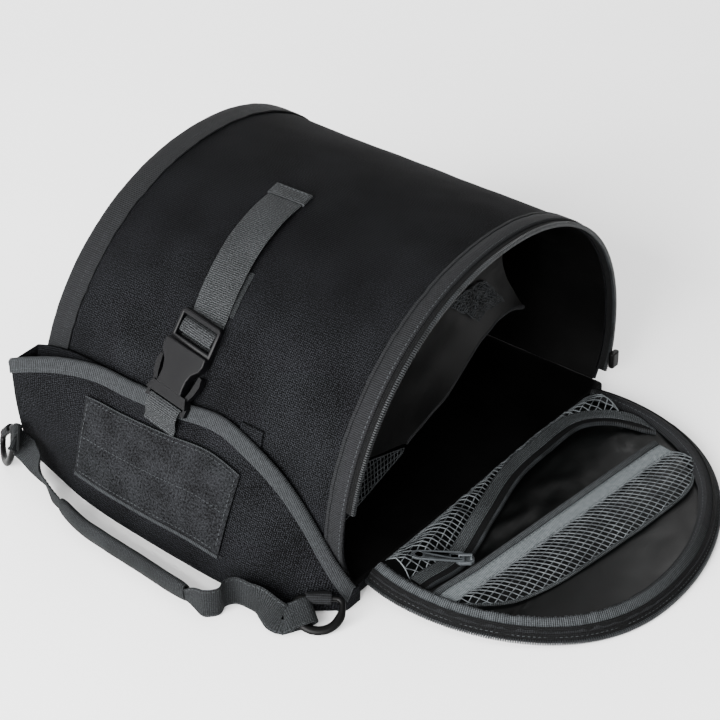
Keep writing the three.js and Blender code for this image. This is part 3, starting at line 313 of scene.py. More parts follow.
def ribbed(name, dark, light, pitch=RIB, depth=0.6, roughness=0.85, specular=0.12, shade_fade=()):
    """Grosgrain: ribs across the tape, with fine warp threads over them. Painted shade darkens it along its
    length, between the two lengths given as its last argument."""
    material, tree, shader = new_material(name, roughness, specular=specular)
    uv = add_node(tree, "ShaderNodeUVMap").outputs["UV"]
    ribs = waves(tree, uv, pitch, "X", 0.4)
    warp = waves(tree, uv, 1.3, "Y", 0.3)
    cloud = add_node(tree, "ShaderNodeTexNoise", {"Vector": uv},
                     {"Scale": 1 / (3 * MM), "Detail": 4.0}).outputs["Fac"]
    wear = maths(tree, "ADD", maths(tree, "MULTIPLY", cloud, 0.5), maths(tree, "MULTIPLY", warp, 0.15))
    shade = maths(tree, "ADD", maths(tree, "MULTIPLY", ribs, 0.5), wear)
    # Painted shade: darker along the tape between the two given lengths, dimming the rim's painted highlight.
    if shade_fade:
        along = add_node(tree, "ShaderNodeSeparateXYZ", {"Vector": uv}).outputs["X"]
        shade_along = add_node(tree, "ShaderNodeMapRange", {"Value": along},
                        {"From Min": shade_fade[0], "From Max": shade_fade[1], "To Min": 1.0, "To Max": 0.35})
        shade = maths(tree, "MULTIPLY", shade, shade_along.outputs["Result"])
    tree.links.new(colour_ramp(tree, shade, dark, light, 0.25, 0.95), shader.inputs["Base Color"])
    height = maths(tree, "ADD", ribs, maths(tree, "MULTIPLY", warp, 0.35))
    bump(tree, shader, height, depth, 0.5 * MM)
    return material


def coated_lining(name, dark, light, specular=0.2):
    """Polyurethane-coated nylon: smooth and faintly glossy over a fine weave."""
    material, tree, shader = new_material(name, 0.42, specular=specular)
    uv = add_node(tree, "ShaderNodeUVMap").outputs["UV"]
    patch = add_node(tree, "ShaderNodeTexNoise", {"Vector": uv},
                     {"Scale": 1 / (60 * MM), "Detail": 2.0}).outputs["Fac"]
    weave = maths(tree, "MULTIPLY", waves(tree, uv, 1.1, "X"), waves(tree, uv, 1.1, "Y"))
    tree.links.new(colour_ramp(tree, patch, dark, light), shader.inputs["Base Color"])
    bump(tree, shader, weave, 0.12, 0.3 * MM)
    return material


def loop_pile():
    """Napped loops, felted into a matt fuzz."""
    material, tree, shader = new_material("loop_pile", 0.97, specular=0.05)
    uv = add_node(tree, "ShaderNodeUVMap").outputs["UV"]
    fuzz = add_node(tree, "ShaderNodeTexNoise", {"Vector": uv},
                    {"Scale": 1 / (1.5 * MM), "Detail": 5.0, "Roughness": 0.7}).outputs["Fac"]
    cloud = add_node(tree, "ShaderNodeTexNoise", {"Vector": uv},
                     {"Scale": 1 / (18 * MM), "Detail": 3.0}).outputs["Fac"]
    shade = maths(tree, "ADD", maths(tree, "MULTIPLY", fuzz, 0.8), maths(tree, "MULTIPLY", cloud, 0.2))
    tree.links.new(colour_ramp(tree, shade, "#020202", "#202123", 0.4, 0.66), shader.inputs["Base Color"])
    bump(tree, shader, fuzz, 0.9, 0.8 * MM)
    return material


def plain(name, dark, light, roughness, grain=0.4, depth=0.1, metallic=0.0, specular=0.5):
    """A moulded, drawn or enamelled surface: a fine grain on one colour."""
    material, tree, shader = new_material(name, roughness, metallic, specular=specular)
    place = add_node(tree, "ShaderNodeTexCoord").outputs["Object"]
    fine = add_node(tree, "ShaderNodeTexNoise", {"Vector": place},
                    {"Scale": 1 / (grain * MM), "Detail": 3.0}).outputs["Fac"]
    broad = add_node(tree, "ShaderNodeTexNoise", {"Vector": place},
                     {"Scale": 1 / (14 * MM), "Detail": 3.0}).outputs["Fac"]
    shade = maths(tree, "ADD", maths(tree, "MULTIPLY", fine, 0.4), maths(tree, "MULTIPLY", broad, 0.6))
    tree.links.new(colour_ramp(tree, shade, dark, light), shader.inputs["Base Color"])
    bump(tree, shader, fine, depth, 0.2 * MM)
    return material


def pale_floor():
    """Smooth paper sweep."""
    material, tree, shader = new_material("paper_sweep", 0.9, specular=0.1)
    place = add_node(tree, "ShaderNodeTexCoord").outputs["Object"]
    cloud = add_node(tree, "ShaderNodeTexNoise", {"Vector": place}, {"Scale": 3.0}).outputs["Fac"]
    tree.links.new(colour_ramp(tree, cloud, "#fafafa", "#ffffff"), shader.inputs["Base Color"])
    return material


def make_finishes():
    return {
        # Black canvas: a matt weave, slightly uneven, with painted shade making it nearly black on the roof.
        "canvas": woven("nylon_canvas", "#000000", "#232427", WEAVE, specular=0.04, speck=1.9, upper=0.62),
        # Webbing: coarser and greyer than the canvas, in the shade darker still on the handle.
        "webbing": woven("nylon_webbing", "#090a0a", "#4a4c4e", 1.5, 0.7, depth=0.6, blotch=0.25, speck=1.2),
        "handle": woven("handle_webbing", "#060707", "#343638", 1.5, 0.7, depth=0.6, blotch=0.4, speck=1.2),
        # Bindings: ribs across the tape that catch the light one by one.
        "tape": ribbed("grosgrain_tape", "#030303", "#17181a"),
        "binding": ribbed("pocket_grosgrain", "#070808", "#2c2e30", pitch=1.5, depth=0.8),
        # Rim tape: a lighter grosgrain, laid on the door rim's crest at the front as a painted highlight,
        # with painted shade darkening it further along.
        "rim": ribbed("rim_grosgrain", "#060707", "#3e4143", pitch=1.5, shade_fade=RIM_SHADE_FADE),
        "trim": ribbed("light_grosgrain", "#262a2c", "#6a6f71", pitch=1.3, depth=0.35),
        "facing": woven("nylon_twill", "#0c0d0d", "#55595b", 1.4, depth=0.35, speck=1.0),
        "zip_tape": woven("zip_tape", "#020202", "#141516", 1.3, depth=0.3),
        # Linings: smooth and a little glossy in the door, a dark hollow in the tunnel.
        "lining": coated_lining("coated_nylon", "#010101", "#030404", 0.17),
        "inner": coated_lining("inner_lining", "#030303", "#070707", 0.03),
        # Loop field: a matt fuzz of napped loops.
        "pile": loop_pile(),
        # Nets: pale knitted strands over dark holes, dimmer inside the tunnel.
        "net": plain("knitted_polyester", "#1c1e20", "#54585a", 0.8, specular=0.2),
        "shaded_net": plain("shaded_polyester", "#0a0b0b", "#26282a", 0.8, specular=0.1),
        # Hard pieces: satin plastic, grey enamel and the small glints of the coil.
        "coil": plain("drawn_nylon_coil", "#060707", "#232527", 0.5, specular=0.2),
        "buckle": plain("moulded_acetal", "#020203", "#060607", 0.42, depth=0.15, specular=0.1),
        "ring": plain("moulded_nylon", "#010101", "#030303", 0.42, depth=0.15, specular=0.08),
        "zinc": plain("enamelled_zinc", "#303335", "#505457", 0.27, metallic=0.55, specular=0.5),
        "slider": plain("slider_enamel", "#020202", "#040404", 0.45, specular=0.1),
        "thread": plain("bonded_thread", "#111213", "#303335", 0.7, specular=0.2),
    }


# Building
class Outline:
    """The half-round outline of tunnel and door, from the near foot to the far one."""

    def __init__(self, height, half, bulge, base_half, steps=120):
        side = []
        for i in range(steps + 1):
            angle = i / steps * math.pi / 2
            wide = math.sin(angle) ** (2 / SQUARENESS)
            high = max(math.cos(angle), 0) ** (2 / SQUARENESS)
            side.append((half * wide, bulge + (height - bulge) * high))
        for i in range(1, steps // 4 + 1):
            s = i / (steps // 4)
            side.append((half + (base_half - half) * s * s, bulge * (1 - s)))
        self.points = [(-y, z) for y, z in reversed(side)] + side[1:]
        self.lengths = [0]
        for a, b in zip(self.points, self.points[1:]):
            self.lengths.append(self.lengths[-1] + math.dist(a, b))
        self.total = self.lengths[-1]

    def on(self, u):
        """The point a share u of the way round, as (y, z)."""
        target = clamp(u, 0, 1) * self.total
        low, high = 0, len(self.points) - 1
        while high - low > 1:
            middle = (low + high) // 2
            if self.lengths[middle] < target:
                low = middle
            else:
                high = middle
        share = (target - self.lengths[low]) / (self.lengths[high] - self.lengths[low])
        a, b = self.points[low], self.points[high]
        return mix(a[0], b[0], share), mix(a[1], b[1], share)

    def at(self, u, out=0):
        """(y, z) moved out from the outline, and the outward normal."""
        step = 0.004
        ahead, behind = self.on(u + step), self.on(u - step)
        along = Vector((ahead[0] - behind[0], ahead[1] - behind[1])).normalized()
        y, z = self.on(u)
        return y - along[1] * out, max(z + along[0] * out, 0), vec(0, -along[1], along[0])

    def near_at(self, height):
        """The share of the way, on the near side, at which a height is reached."""
        return halve(0, 0.5, 30, lambda u: self.on(u)[1] < height)


arch = Outline(ARCH_HEIGHT, BULGE_HALF, BULGE_HEIGHT, BASE_HALF)
door = Outline(DOOR_LENGTH, DOOR_HALF, DOOR_BULGE, DOOR_BASE_HALF)
ROUND_STEPS = 144


def wall_point(x, u, out=0):
    y, z, _ = arch.at(u, out)
    lean = mix(END_LEAN, MOUTH_LEAN, (x + HALF) / TUNNEL_LENGTH)
    return vec(x + lean * z, y, SEAM + z)


def down_to(height):
    """Distance along the arch from the apex down the near side to a height over the floor."""
    return (0.5 - arch.near_at(height - SEAM)) * arch.total


def near_wall(x, down, out):
    y, z, _ = arch.at(0.5 - down / arch.total, out)
    return vec(x, y, SEAM + z)


def door_floor(s):
    return FLOOR_CLEAR + HINGE_RISE * (1 - clamp(s / DOOR_LENGTH, 0, 1))


def door_point(u, out, rise):
    y, s, _ = door.at(u, out)
    return vec(HINGE + s, y - DOOR_TWIST * (s / DOOR_LENGTH) ** 4, door_floor(s) + rise)


def rough(p, size, seed):
    """Smooth noise between about -1 and 1, with bumps of one size."""
    return noise.noise(p / size + vec(seed * 7.3, seed * 3.1, seed * 5.7))


def new_mesh(name, points, faces, places=()):
    """A mesh, with a UV map where each face's places in metres are given."""
    mesh = bpy.data.meshes.new(name)
    mesh.from_pydata(points, [], faces)
    if places:
        layer = mesh.uv_layers.new(name="UVMap")
        for polygon, corners in zip(mesh.polygons, places):
            for loop, corner in zip(polygon.loop_indices, corners):
                layer.data[loop].uv = corner
    return mesh


def skin(name, rings, finish, replaces=(), body="bag", closed=False, cap="strip"):
    """A mesh through rings of points of one count, with a UV map in metres along both ways."""
    count = len(rings[0])
    points = [p * MM for ring in rings for p in ring]
    faces = []
    places = []
    spans = len(rings) if closed else len(rings) - 1
    along = [0.0]
    for i in range(spans):
        a, b = rings[i], rings[(i + 1) % len(rings)]
        step = sum((a[j] - b[j]).length for j in range(count)) / count
        along.append(along[-1] + step * MM)
    around = []
    for ring in rings:
        lengths = [0.0]
        for j in range(count):
            lengths.append(lengths[-1] + (ring[(j + 1) % count] - ring[j]).length * MM)
        around.append(lengths)
    for i in range(spans):
        n = (i + 1) % len(rings)
        for j in range(count):
            k = (j + 1) % count
            faces.append((i * count + j, i * count + k, n * count + k, n * count + j))
            places.append(((along[i], around[i][j]), (along[i], around[i][j + 1]),
                           (along[i + 1], around[n][j + 1]), (along[i + 1], around[n][j])))
    if not closed:
        for i, flip in ((0, True), (len(rings) - 1, False)):
            start = i * count
            if cap == "strip":
                caps = [(j, j + 1, count - 2 - j, count - 1 - j) for j in range(count // 2 - 1)]
            else:
                caps = [tuple(range(count))]
            for face in caps:
                face = face[::-1] if flip else face
                faces.append(tuple(start + j for j in face))
                places.append(tuple((along[i], around[i][j]) for j in face))
    return settle(new_mesh(name, points, faces, places), name, finish, replaces, body)


def settle(mesh, name, finish, replaces=(), body="bag", angle=50):
    """Gives a mesh its object, outward faces, finish and body, and hides the imported parts it replaces."""
    work = bmesh.new()
    work.from_mesh(mesh)
    bmesh.ops.recalc_face_normals(work, faces=work.faces)
    work.to_mesh(mesh)
    work.free()
    piece = bpy.data.objects.new(name, mesh)
    bpy.context.scene.collection.objects.link(piece)
    bpy.ops.object.select_all(action="DESELECT")
    piece.select_set(True)
    bpy.context.view_layer.objects.active = piece
    bpy.ops.object.shade_smooth_by_angle(angle=math.radians(angle))
    mesh.materials.append(finishes[finish])
    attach(piece, body)
    if replaces:
        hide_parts(*replaces)
    return piece


def second_finish(piece, finish, count, spans, low, high):
    """Another finish for the ring columns from low up to high."""
    piece.data.materials.append(finishes[finish])
    for polygon in piece.data.polygons[:spans * count]:
        if low <= polygon.index % count < high:
            polygon.material_index = 1


def normals_of(grid):
    rows, columns = len(grid), len(grid[0])
    found = []
    for i in range(rows):
        line = []
        for j in range(columns):
            along = grid[i][min(j + 1, columns - 1)] - grid[i][max(j - 1, 0)]
            across = grid[min(i + 1, rows - 1)][j] - grid[max(i - 1, 0)][j]
            line.append(along.cross(across).normalized())
        found.append(line)
    return found


def cloth(name, grid, thickness, finish, replaces=()):
    """A closed sheet over a grid of points, grown along row by column."""
    normals = normals_of(grid)
    rings = []
    for row, line in zip(grid, normals):
        back = [p + n * thickness for p, n in zip(row, line)]
        rings.append([*row, *reversed(back)])
    return skin(name, rings, finish, replaces)


def sweep(name, frames, profile, finish, replaces=(), cap="strip"):
    rings = [[at + across * a + out * b for a, b in profile] for at, across, out in frames]
    return skin(name, rings, finish, replaces, cap=cap)


def band(a0, a1, b0, b1):
    """A flat strip's section with rounded edges: along one face and back along the other."""
    middle, half = (b0 + b1) / 2, (b1 - b0) / 2
    stations = ((0, 0.35), (0.02, 0.8), (0.06, 1), (0.5, 1), (0.94, 1), (0.98, 0.8), (1, 0.35))
    under = [(mix(a0, a1, s), middle - half * h) for s, h in stations]
    over = [(mix(a0, a1, s), middle + half * h) for s, h in stations]
    return under + over[::-1]


def curve_through(points, steps):
    """Points along a centripetal Catmull-Rom curve, and the tangent at each."""
    ends = [points[0] * 2 - points[1], *points, points[-1] * 2 - points[-2]]
    spans = len(points) - 1

    def position(t):
        t = clamp(t, 0, 1) * spans
        i = min(int(t), spans - 1)
        w = t - i
        p0, p1, p2, p3 = ends[i:i + 4]
        d0, d1, d2 = [max((b - a).length ** 0.5, 1e-4) for a, b in ((p0, p1), (p1, p2), (p2, p3))]
        t1 = ((p1 - p0) / d0 - (p2 - p0) / (d0 + d1) + (p2 - p1) / d1) * d1
        t2 = ((p2 - p1) / d1 - (p3 - p1) / (d1 + d2) + (p3 - p2) / d2) * d1
        a = p1 * 2 - p2 * 2 + t1 + t2
        b = p2 * 3 - p1 * 3 - t1 * 2 - t2
        return p1 + t1 * w + b * w * w + a * w * w * w

    found = []
    for i in range(steps + 1):
        t = i / steps
        tangent = (position(t + 0.002) - position(t - 0.002)).normalized()
        found.append((position(t), tangent))
    return found


def frames_through(points, sideways, steps):
    """Frames (at, across, out) along a curve; the width lies along sideways."""
    found = []
    widths = curve_through(sideways, steps)
    for (at, tangent), (width, _) in zip(curve_through(points, steps), widths):
        across = (width - tangent * width.dot(tangent)).normalized()
        found.append((at, across, tangent.cross(across)))
    return found


# Stitches and teeth are gathered here and made into a few meshes at the end.
stitch_solids = []
tooth_solids = []


def spaced_along(points, pitch, spare):
    """Every pitch along a line of points: the span it falls in, its place and the way along. The
    last one keeps a spare length from the end."""
    lengths = lengths_along(points)
    place = pitch / 2
    i = 0
    while place + spare < lengths[-1]:
        while i < len(lengths) - 2 and lengths[i + 1] < place:
            i += 1
        share = (place - lengths[i]) / max(lengths[i + 1] - lengths[i], 1e-6)
        at = points[i].lerp(points[i + 1], clamp(share, 0, 1))
        yield i, at, (points[i + 1] - points[i]).normalized()
        place += pitch


def stitch_line(points, outs):
    """Stitches along a line of points: each a spindle half sunk in the cloth."""
    for i, at, along in spaced_along(points, STITCH_PITCH, STITCH_LENGTH):
        stitch_solids.append(spindle(at, along, outs[i], STITCH_LENGTH, STITCH_WIDTH))


def spindle(at, along, out, length, width):
    across = along.cross(out).normalized() * (width / 2)
    rise = out.normalized() * (width * 0.45)
    start, end = at, at + along * length
    ring = [across, rise, -across, -rise]
    points = [start - rise, *[start.lerp(end, 0.2) + r for r in ring],
              *[start.lerp(end, 0.8) + r for r in ring], end - rise]
    faces = [(0, 1 + (k + 1) % 4, 1 + k) for k in range(4)]
    faces += [(1 + k, 1 + (k + 1) % 4, 5 + (k + 1) % 4, 5 + k) for k in range(4)]
    faces += [(9, 5 + k, 5 + (k + 1) % 4) for k in range(4)]
    return points, faces


def teeth(frames, width, height):
    """The turns of a zip's coil, as small rounded blocks across the line."""
    for i, at, along in spaced_along([at for at, _, _ in frames], TOOTH_PITCH, 0):
        across, out = frames[i][1:]
        along = along * (TOOTH_PITCH * 0.33)
        points = []
        for level, inset in ((-1, 0.75), (0, 1), (1, 0.7)):
            for a, b in ((-1, -1), (1, -1), (1, 1), (-1, 1)):
                points.append(at + across * (a * width / 2 * inset) + along * (b * inset)
                              + out * (level * height / 2))
        faces = [(3, 2, 1, 0), (8, 9, 10, 11)]
        for level in (0, 4):
            for k in range(4):
                n = (k + 1) % 4
                faces.append((level + k, level + n, level + 4 + n, level + 4 + k))
        tooth_solids.append((points, faces))


def gather(name, solids, finish):
    points, faces = [], []
    for own_points, own_faces in solids:
        start = len(points)
        points += [p * MM for p in own_points]
        faces += [tuple(start + k for k in face) for face in own_faces]
    return settle(new_mesh(name, points, faces), name, finish)


def rounded_copy(name, node, finish, width, segments=2, body="bag", panel=0.0):
    """A hard piece's own shape with its edges rounded, and its broad faces sunk inside a rim."""
    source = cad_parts[node]
    mesh = source.data.copy()
    mesh.materials.clear()
    for layer in list(mesh.uv_layers):
        mesh.uv_layers.remove(layer)
    work = bmesh.new()
    work.from_mesh(mesh)
    bmesh.ops.remove_doubles(work, verts=work.verts, dist=0.01 * MM)
    bmesh.ops.dissolve_limit(work, angle_limit=math.radians(4), verts=work.verts, edges=work.edges)
    if panel:
        broad = max(face.calc_area() for face in work.faces)
        faces = [face for face in work.faces if face.calc_area() > 0.8 * broad]
        bmesh.ops.inset_individual(work, faces=faces, thickness=panel * MM, depth=-0.3 * MM)
    work.to_mesh(mesh)
    work.free()
    piece = settle(mesh, name, finish, (node,), body, angle=40)
    edge = piece.modifiers.new("round", "BEVEL")
    edge.width = width * MM
    edge.segments = segments
    edge.limit_method = "ANGLE"
    edge.angle_limit = math.radians(28)
    bpy.ops.object.modifier_apply(modifier="round")


# Tunnel
def arch_rings(section, start=0.0, end=1.0, steps=ROUND_STEPS):
    """Rings round the arch. section(u) gives the (x, out) pairs of one of them."""
    rings = []
    for i in range(steps + 1):
        u = mix(start, end, i / steps)
        rings.append([wall_point(x, u, out) for x, out in section(u)])
    return rings


def smooth_rings(rings):
    """Softens the rings' way at the kinks of the outline."""
    between = [[(a + b * 2 + c) / 4 for a, b, c in zip(*rings[i - 1:i + 2])]
               for i in range(1, len(rings) - 1)]
    return [rings[0], *between, rings[-1]]


def line_of(rings, column):
    return [ring[column] for ring in rings]


def soft_wave(p, amount, size, seed):
    return amount * (rough(p, size, seed) + 0.4 * rough(p, size * 0.35, seed + 1))


def make_wall():
    columns = 40

    def section(u):
        outer, inner = [], []
        for j in range(columns + 1):
            x = mix(-HALF, WRAP_END, j / columns)
            at = wall_point(x, u)
            edge = min(1, (x + HALF) / 30, (WRAP_END - x) / 25)
            swell = soft_wave(at, 1.0, 52, 1) * edge
            outer.append((x, min(swell, 1.4)))
            fold = 1.2 * math.sin(u * 60 + 2.2 * rough(at, 70, 4)) * clamp(abs(u - 0.5) * 4, 0.15, 1)
            inner.append((x, -WALL - max(0, soft_wave(at, 1.5, 30, 2) + fold) * edge))
        return outer + inner[::-1]

    wall = skin("tunnel_wall", smooth_rings(arch_rings(section)), "canvas", ("main_wrap",))
    count = 2 * columns + 2
    second_finish(wall, "inner", count, ROUND_STEPS, columns + 1, count - 1)


def make_closed_end():
    front = -HALF - GAP
    back = front - WALL + TAPE / 2
    middle = vec(0, 0, 0.45 * ARCH_HEIGHT)
    shares = (1, 0.985, 0.96, 0.92, 0.87, 0.8, 0.7, 0.6, 0.5, 0.4, 0.3, 0.2, 0.1, 0.03)

    def ring(x, share, dome):
        points = []
        for i in range(ROUND_STEPS + 1):
            y, z, _ = arch.at(i / ROUND_STEPS)
            height = mix(middle.z, z, share)
            lean = mix(END_LEAN, MOUTH_LEAN, (x + HALF) / TUNNEL_LENGTH)
            p = vec(x + lean * height, y * share, SEAM + height)
            p.x -= dome + (soft_wave(p, 1.1, 45, 8) if dome else 0) * min(1, dome)
            points.append(p)
        return points

    rings = [ring(front, 1, 0)]
    for share in shares:
        swell = clamp((0.93 - share) / 0.5, 0, 1)
        rings.append(ring(back, share, END_DOME * (1 - (1 - swell) ** 2)))
    panel = skin("closed_end", rings, "canvas", ("end_panel",), cap="whole")


def make_base():
    bpy.ops.mesh.primitive_cube_add(size=1, location=(0, 0, 0))
    pad = bpy.context.active_object
    pad.name = "padded_base"
    pad.data.transform(Matrix.Diagonal((PAD_FRONT - PAD_BACK, 2 * PAD_HALF, PAD_THICKNESS, 1)))
    pad.data.transform(Matrix.Translation(((PAD_FRONT + PAD_BACK) / 2, 0, PAD_THICKNESS / 2)))
    pad.data.transform(Matrix.Scale(MM, 4))
    soft = pad.modifiers.new("soft_edge", "BEVEL")
    soft.width = 3 * MM
    soft.segments = 4
    bpy.ops.object.modifier_apply(modifier="soft_edge")
    bpy.ops.object.shade_smooth_by_angle(angle=math.radians(50))
    bpy.ops.object.mode_set(mode="EDIT")
    bpy.ops.mesh.select_all(action="SELECT")
    bpy.ops.uv.cube_project(cube_size=1.0)
    bpy.ops.object.mode_set(mode="OBJECT")
    pad.data.materials.append(finishes["canvas"])
    pad.data.materials.append(finishes["inner"])
    for polygon in pad.data.polygons:
        if polygon.normal.z > 0.5:
            polygon.material_index = 1
    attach(pad, "bag")
    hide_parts("base_pad")


def make_tunnel_tapes():
    turn = -HALF - GAP - WALL + TAPE / 2 - GAP
    inner = END_BAND - HALF

    def ripple(u, seed, amount=0.35):
        return amount * noise.noise(vec(u * 90, seed, 0.5))

    def end_section(u):
        top = GAP + TAPE + ripple(u, 2)
        edge = inner + ripple(u, 3, 0.8)
        return [(edge, GAP), (edge + 0.3, GAP + 0.5 * TAPE), (edge, top), (edge - 6, top + 0.25),
                (edge - 8.5, top + 0.05), (edge - 14, top + 0.3), (turn + 1.5, top), (turn + 0.2, top - 0.5),
                (turn - 0.6 * TAPE, top - 1.6), (turn - TAPE, -1.2), (turn - TAPE, -0.93 * END_BACK),
                (turn - 0.5 * TAPE, -END_BACK), (turn, -0.93 * END_BACK), (turn, GAP)]

    rings = smooth_rings(arch_rings(end_section, steps=240))
    skin("closed_end_binding", rings, "tape", ("end_binding",), cap="whole")
    for offset in (0.26, 0.4):
        path = [a.lerp(b, offset) for a, b in zip(line_of(rings, 2), line_of(rings, 6))]
        stitch_line(path, [arch.at(i / 240)[2] for i in range(241)])
    back = [a.lerp(b, 0.8) + vec(-0.2, 0, 0) for a, b in zip(line_of(rings, 9), line_of(rings, 10))]
    stitch_line(back, [vec(-1, 0, 0.1)] * 241)

    def mouth_section(u):
        start = HALF - MOUTH_BAND + ripple(u, 5, 0.7)
        end = WRAP_END + TAPE
        top = GAP + TAPE + ripple(u, 6, 0.25)
        return [(start, GAP), (start - 0.3, GAP + 0.5 * TAPE), (start + 0.2, top + 0.2),
                (start + 1.6, top + 0.4), (start + 2.5, top + 0.2), (start + 2.9, top - 0.6),
                (start + 3.3, top), (start + 8, top + 0.45), (end - 3, top + 0.35), (end - 0.9, top + 0.1),
                (end - 0.2, top - 0.5), (end, GAP)]

    steps = 240
    rings = smooth_rings(arch_rings(mouth_section, steps=steps))
    skin("mouth_edge_binding", rings, "tape", ("mouth_binding",), cap="whole")
    outs = [arch.at(i / steps)[2] for i in range(steps + 1)]
    path = [a.lerp(b, 0.5) + n * 0.1 for a, b, n in zip(line_of(rings, 8), line_of(rings, 9), outs)]
    stitch_line(path, outs)

    half = ZIP_THICKNESS / 2
    middle = -half
    inside = HALF - MOUTH_TAPE + GAP

    def zip_section(u):
        curl = 0.25 * noise.noise(vec(u * 120, 9, 0))
        return [(inside, middle - half), (HALF - 1.2, middle - half), (HALF + 0.4, middle - 0.5),
                (HALF + 0.4, middle + 0.6 + curl), (HALF - 0.6, middle + half + 0.8 + curl),
                (HALF - 2.4, middle + half + 0.9 + curl), (HALF - 3, middle + half + 0.2),
                (inside + 1.6, middle + half + 0.1), (inside, middle + half)]

    rings = smooth_rings(arch_rings(zip_section, MOUTH_ZIP_START, MOUTH_ZIP_END, 200))
    skin("mouth_zip_tape", rings, "zip_tape", ("mouth_zip",), cap="whole")
    frames = []
    steps = 300
    for i in range(steps + 1):
        u = mix(MOUTH_ZIP_START, MOUTH_ZIP_END, i / steps)
        frames.append((wall_point(HALF + 0.2, u, middle), vec(1, 0, 0), arch.at(u)[2]))
    teeth(frames, 2.8, 2 * COIL_RADIUS)


# Door
def rim_half(s, inside):
    """Half the door's width at a distance s from the hinge, inside its zip line."""
    if s >= DOOR_LENGTH - inside:
        return 0.0
    u = halve(0.0, 0.5, 24, lambda share: door.at(share, -inside)[1] < s)
    return max(-door.at(u, -inside)[0], 0.0)


def door_shift(s):
    return -DOOR_TWIST * (s / DOOR_LENGTH) ** 4


def lining_height(x, y):
    """Creases of the lining: sharp ridges between the zips, soft folds beyond them."""
    p = vec(x, y * 0.8, 0)
    between = math.exp(-((x - HINGE - 0.3 * DOOR_LENGTH - 0.05 * y) / 22) ** 2)
    ridge = 1 - abs(rough(p, 24, 21)) * 2.8
    fine = 1 - abs(rough(p, 10, 25)) * 2.4
    return mix(0.35, 2.1, between) * ridge + mix(0.05, 1.0, between) * fine + 1.1 * rough(p, 55, 23) - 1.4


def make_door_panel():
    rows, columns = 64, 72
    reach = DOOR_LENGTH - DOOR_EDGE - 0.5
    rings = []
    for i in range(rows + 1):
        s = reach * math.sin(i / rows * math.pi / 2)
        half = max(rim_half(s, DOOR_EDGE), 2)
        top, under = [], []
        for j in range(columns + 1):
            across = math.sin((j / columns - 0.5) * math.pi) if s > 0.6 * reach else (2 * j / columns - 1)
            y = half * across + door_shift(s)
            edge = min(1, (1 - abs(across)) * half / 9, (reach - s) / 9 + 0.05, s / 6 + 0.2)
            base = vec(HINGE + s, y, door_floor(s))
            lift = clamp(lining_height(base.x, base.y), -2.6, 0.5)
            soft = math.sqrt(clamp((1 - abs(across)) * half / 3, 0, 1))
            top.append(base + vec(0, 0, mix(DOOR_PANEL * 0.55, DOOR_PANEL, soft) + lift * edge))
            under.append(base + vec(0, 0, mix(DOOR_PANEL * 0.4, 0, soft)))
        rings.append(under + top[::-1])
    panel = skin("door_padding", rings, "lining", ("door_panel",))


def door_rings(section, steps=240):
    return [[door_point(i / steps, out, rise) for out, rise in section(i / steps)] for i in range(steps + 1)]


def make_door_rim():
    steps = 420

    def section(u):
        front = math.exp(-((u - 0.24) / 0.17) ** 2)
        crumple = noise.noise(vec(u * 190, 3, 0))
        soft = noise.noise(vec(u * 70, 7, 0))
        wrinkle = 0.35 * crumple + 1.2 * front * soft
        inner = -DOOR_BAND + 0.8 * noise.noise(vec(u * 40, 1, 4))
        edge = -3.0 + 0.7 * noise.noise(vec(u * 60, 5, 9))
        return [(inner, DOOR_TOP), (inner, DOOR_TOP + TAPE), (inner + 1.6, DOOR_TOP + TAPE + 0.8),
                (-15.5, 10.4 + wrinkle), (-13.5, 12 + wrinkle), (-12, 12.6 + 0.6 * wrinkle),
                (-10, 11.6 + 0.8 * wrinkle), (-6.5, 9.4 + 1.4 * wrinkle), (edge, 7.4 + 0.9 * wrinkle),
                (edge - 0.5, 6.6), (-7, 8.2), (-12, 11), (-15.5, 9.0), (inner + 2, DOOR_TOP + 0.4)]

    rings = smooth_rings(door_rings(section, steps))
    binding = skin("door_rim_binding", rings, "tape", ("door_binding",), cap="whole")
    # Painted highlight: the lighter rim finish on the crest columns of the front part, where the light falls
    # on the binding.
    binding.data.materials.append(finishes["rim"])
    for polygon in binding.data.polygons[:steps * len(rings[0])]:
        ring, column = divmod(polygon.index, len(rings[0]))
        share = ring / steps
        if 4 <= column < 7 and share < 0.62:
            polygon.material_index = 1
    outs = [vec(0, 0, 1)] * (steps + 1)
    path = [p.lerp(q, 0.4) + vec(0, 0, 0.15) for p, q in zip(line_of(rings, 3), line_of(rings, 4))]
    stitch_line(path, outs)


def make_door_zip():
    start = Vector((2.2 - DOOR_EDGE, DOOR_RIM - TAPE - GAP))
    coil = Vector((0, COIL_RADIUS + FLOOR_CLEAR))
    along = (coil - start).normalized()
    width = (coil - start).length
    half = ZIP_THICKNESS / 2

    def section(u):
        wave = 0.5 * noise.noise(vec(u * 45, 2, 2))
        places = [(-width, -half), (-width * 0.5, -half + wave), (-0.8, -half), (0.3, -0.5),
                  (0.3, 0.5), (-0.8, half), (-width * 0.5, half + wave), (-width, half)]
        return [(coil.x + along.x * a - along.y * b, coil.y + along.y * a + along.x * b) for a, b in places]

    rings = smooth_rings(door_rings(section, 300))
    skin("door_zip_tape", rings, "zip_tape", ("door_zip",), cap="whole")
    frames = []
    steps = 400
    for i in range(steps + 1):
        at = door_point(i / steps, coil.x, coil.y)
        ahead = door_point((i + 0.5) / steps, coil.x, coil.y) - door_point((i - 0.5) / steps, coil.x, coil.y)
        if ahead.length < 1e-5:
            continue
        across = vec(ahead.y, -ahead.x, 0).normalized() * -1
        frames.append((at, across, vec(0, 0, 1)))
    teeth(frames, 3.0, 2 * COIL_RADIUS)
    seam = start.lerp(coil, 0.72)
    path = [door_point(i / steps, seam.x, seam.y + half + 0.15) for i in range(steps + 1)]
    stitch_line(path, [vec(0, 0, 1)] * (steps + 1))


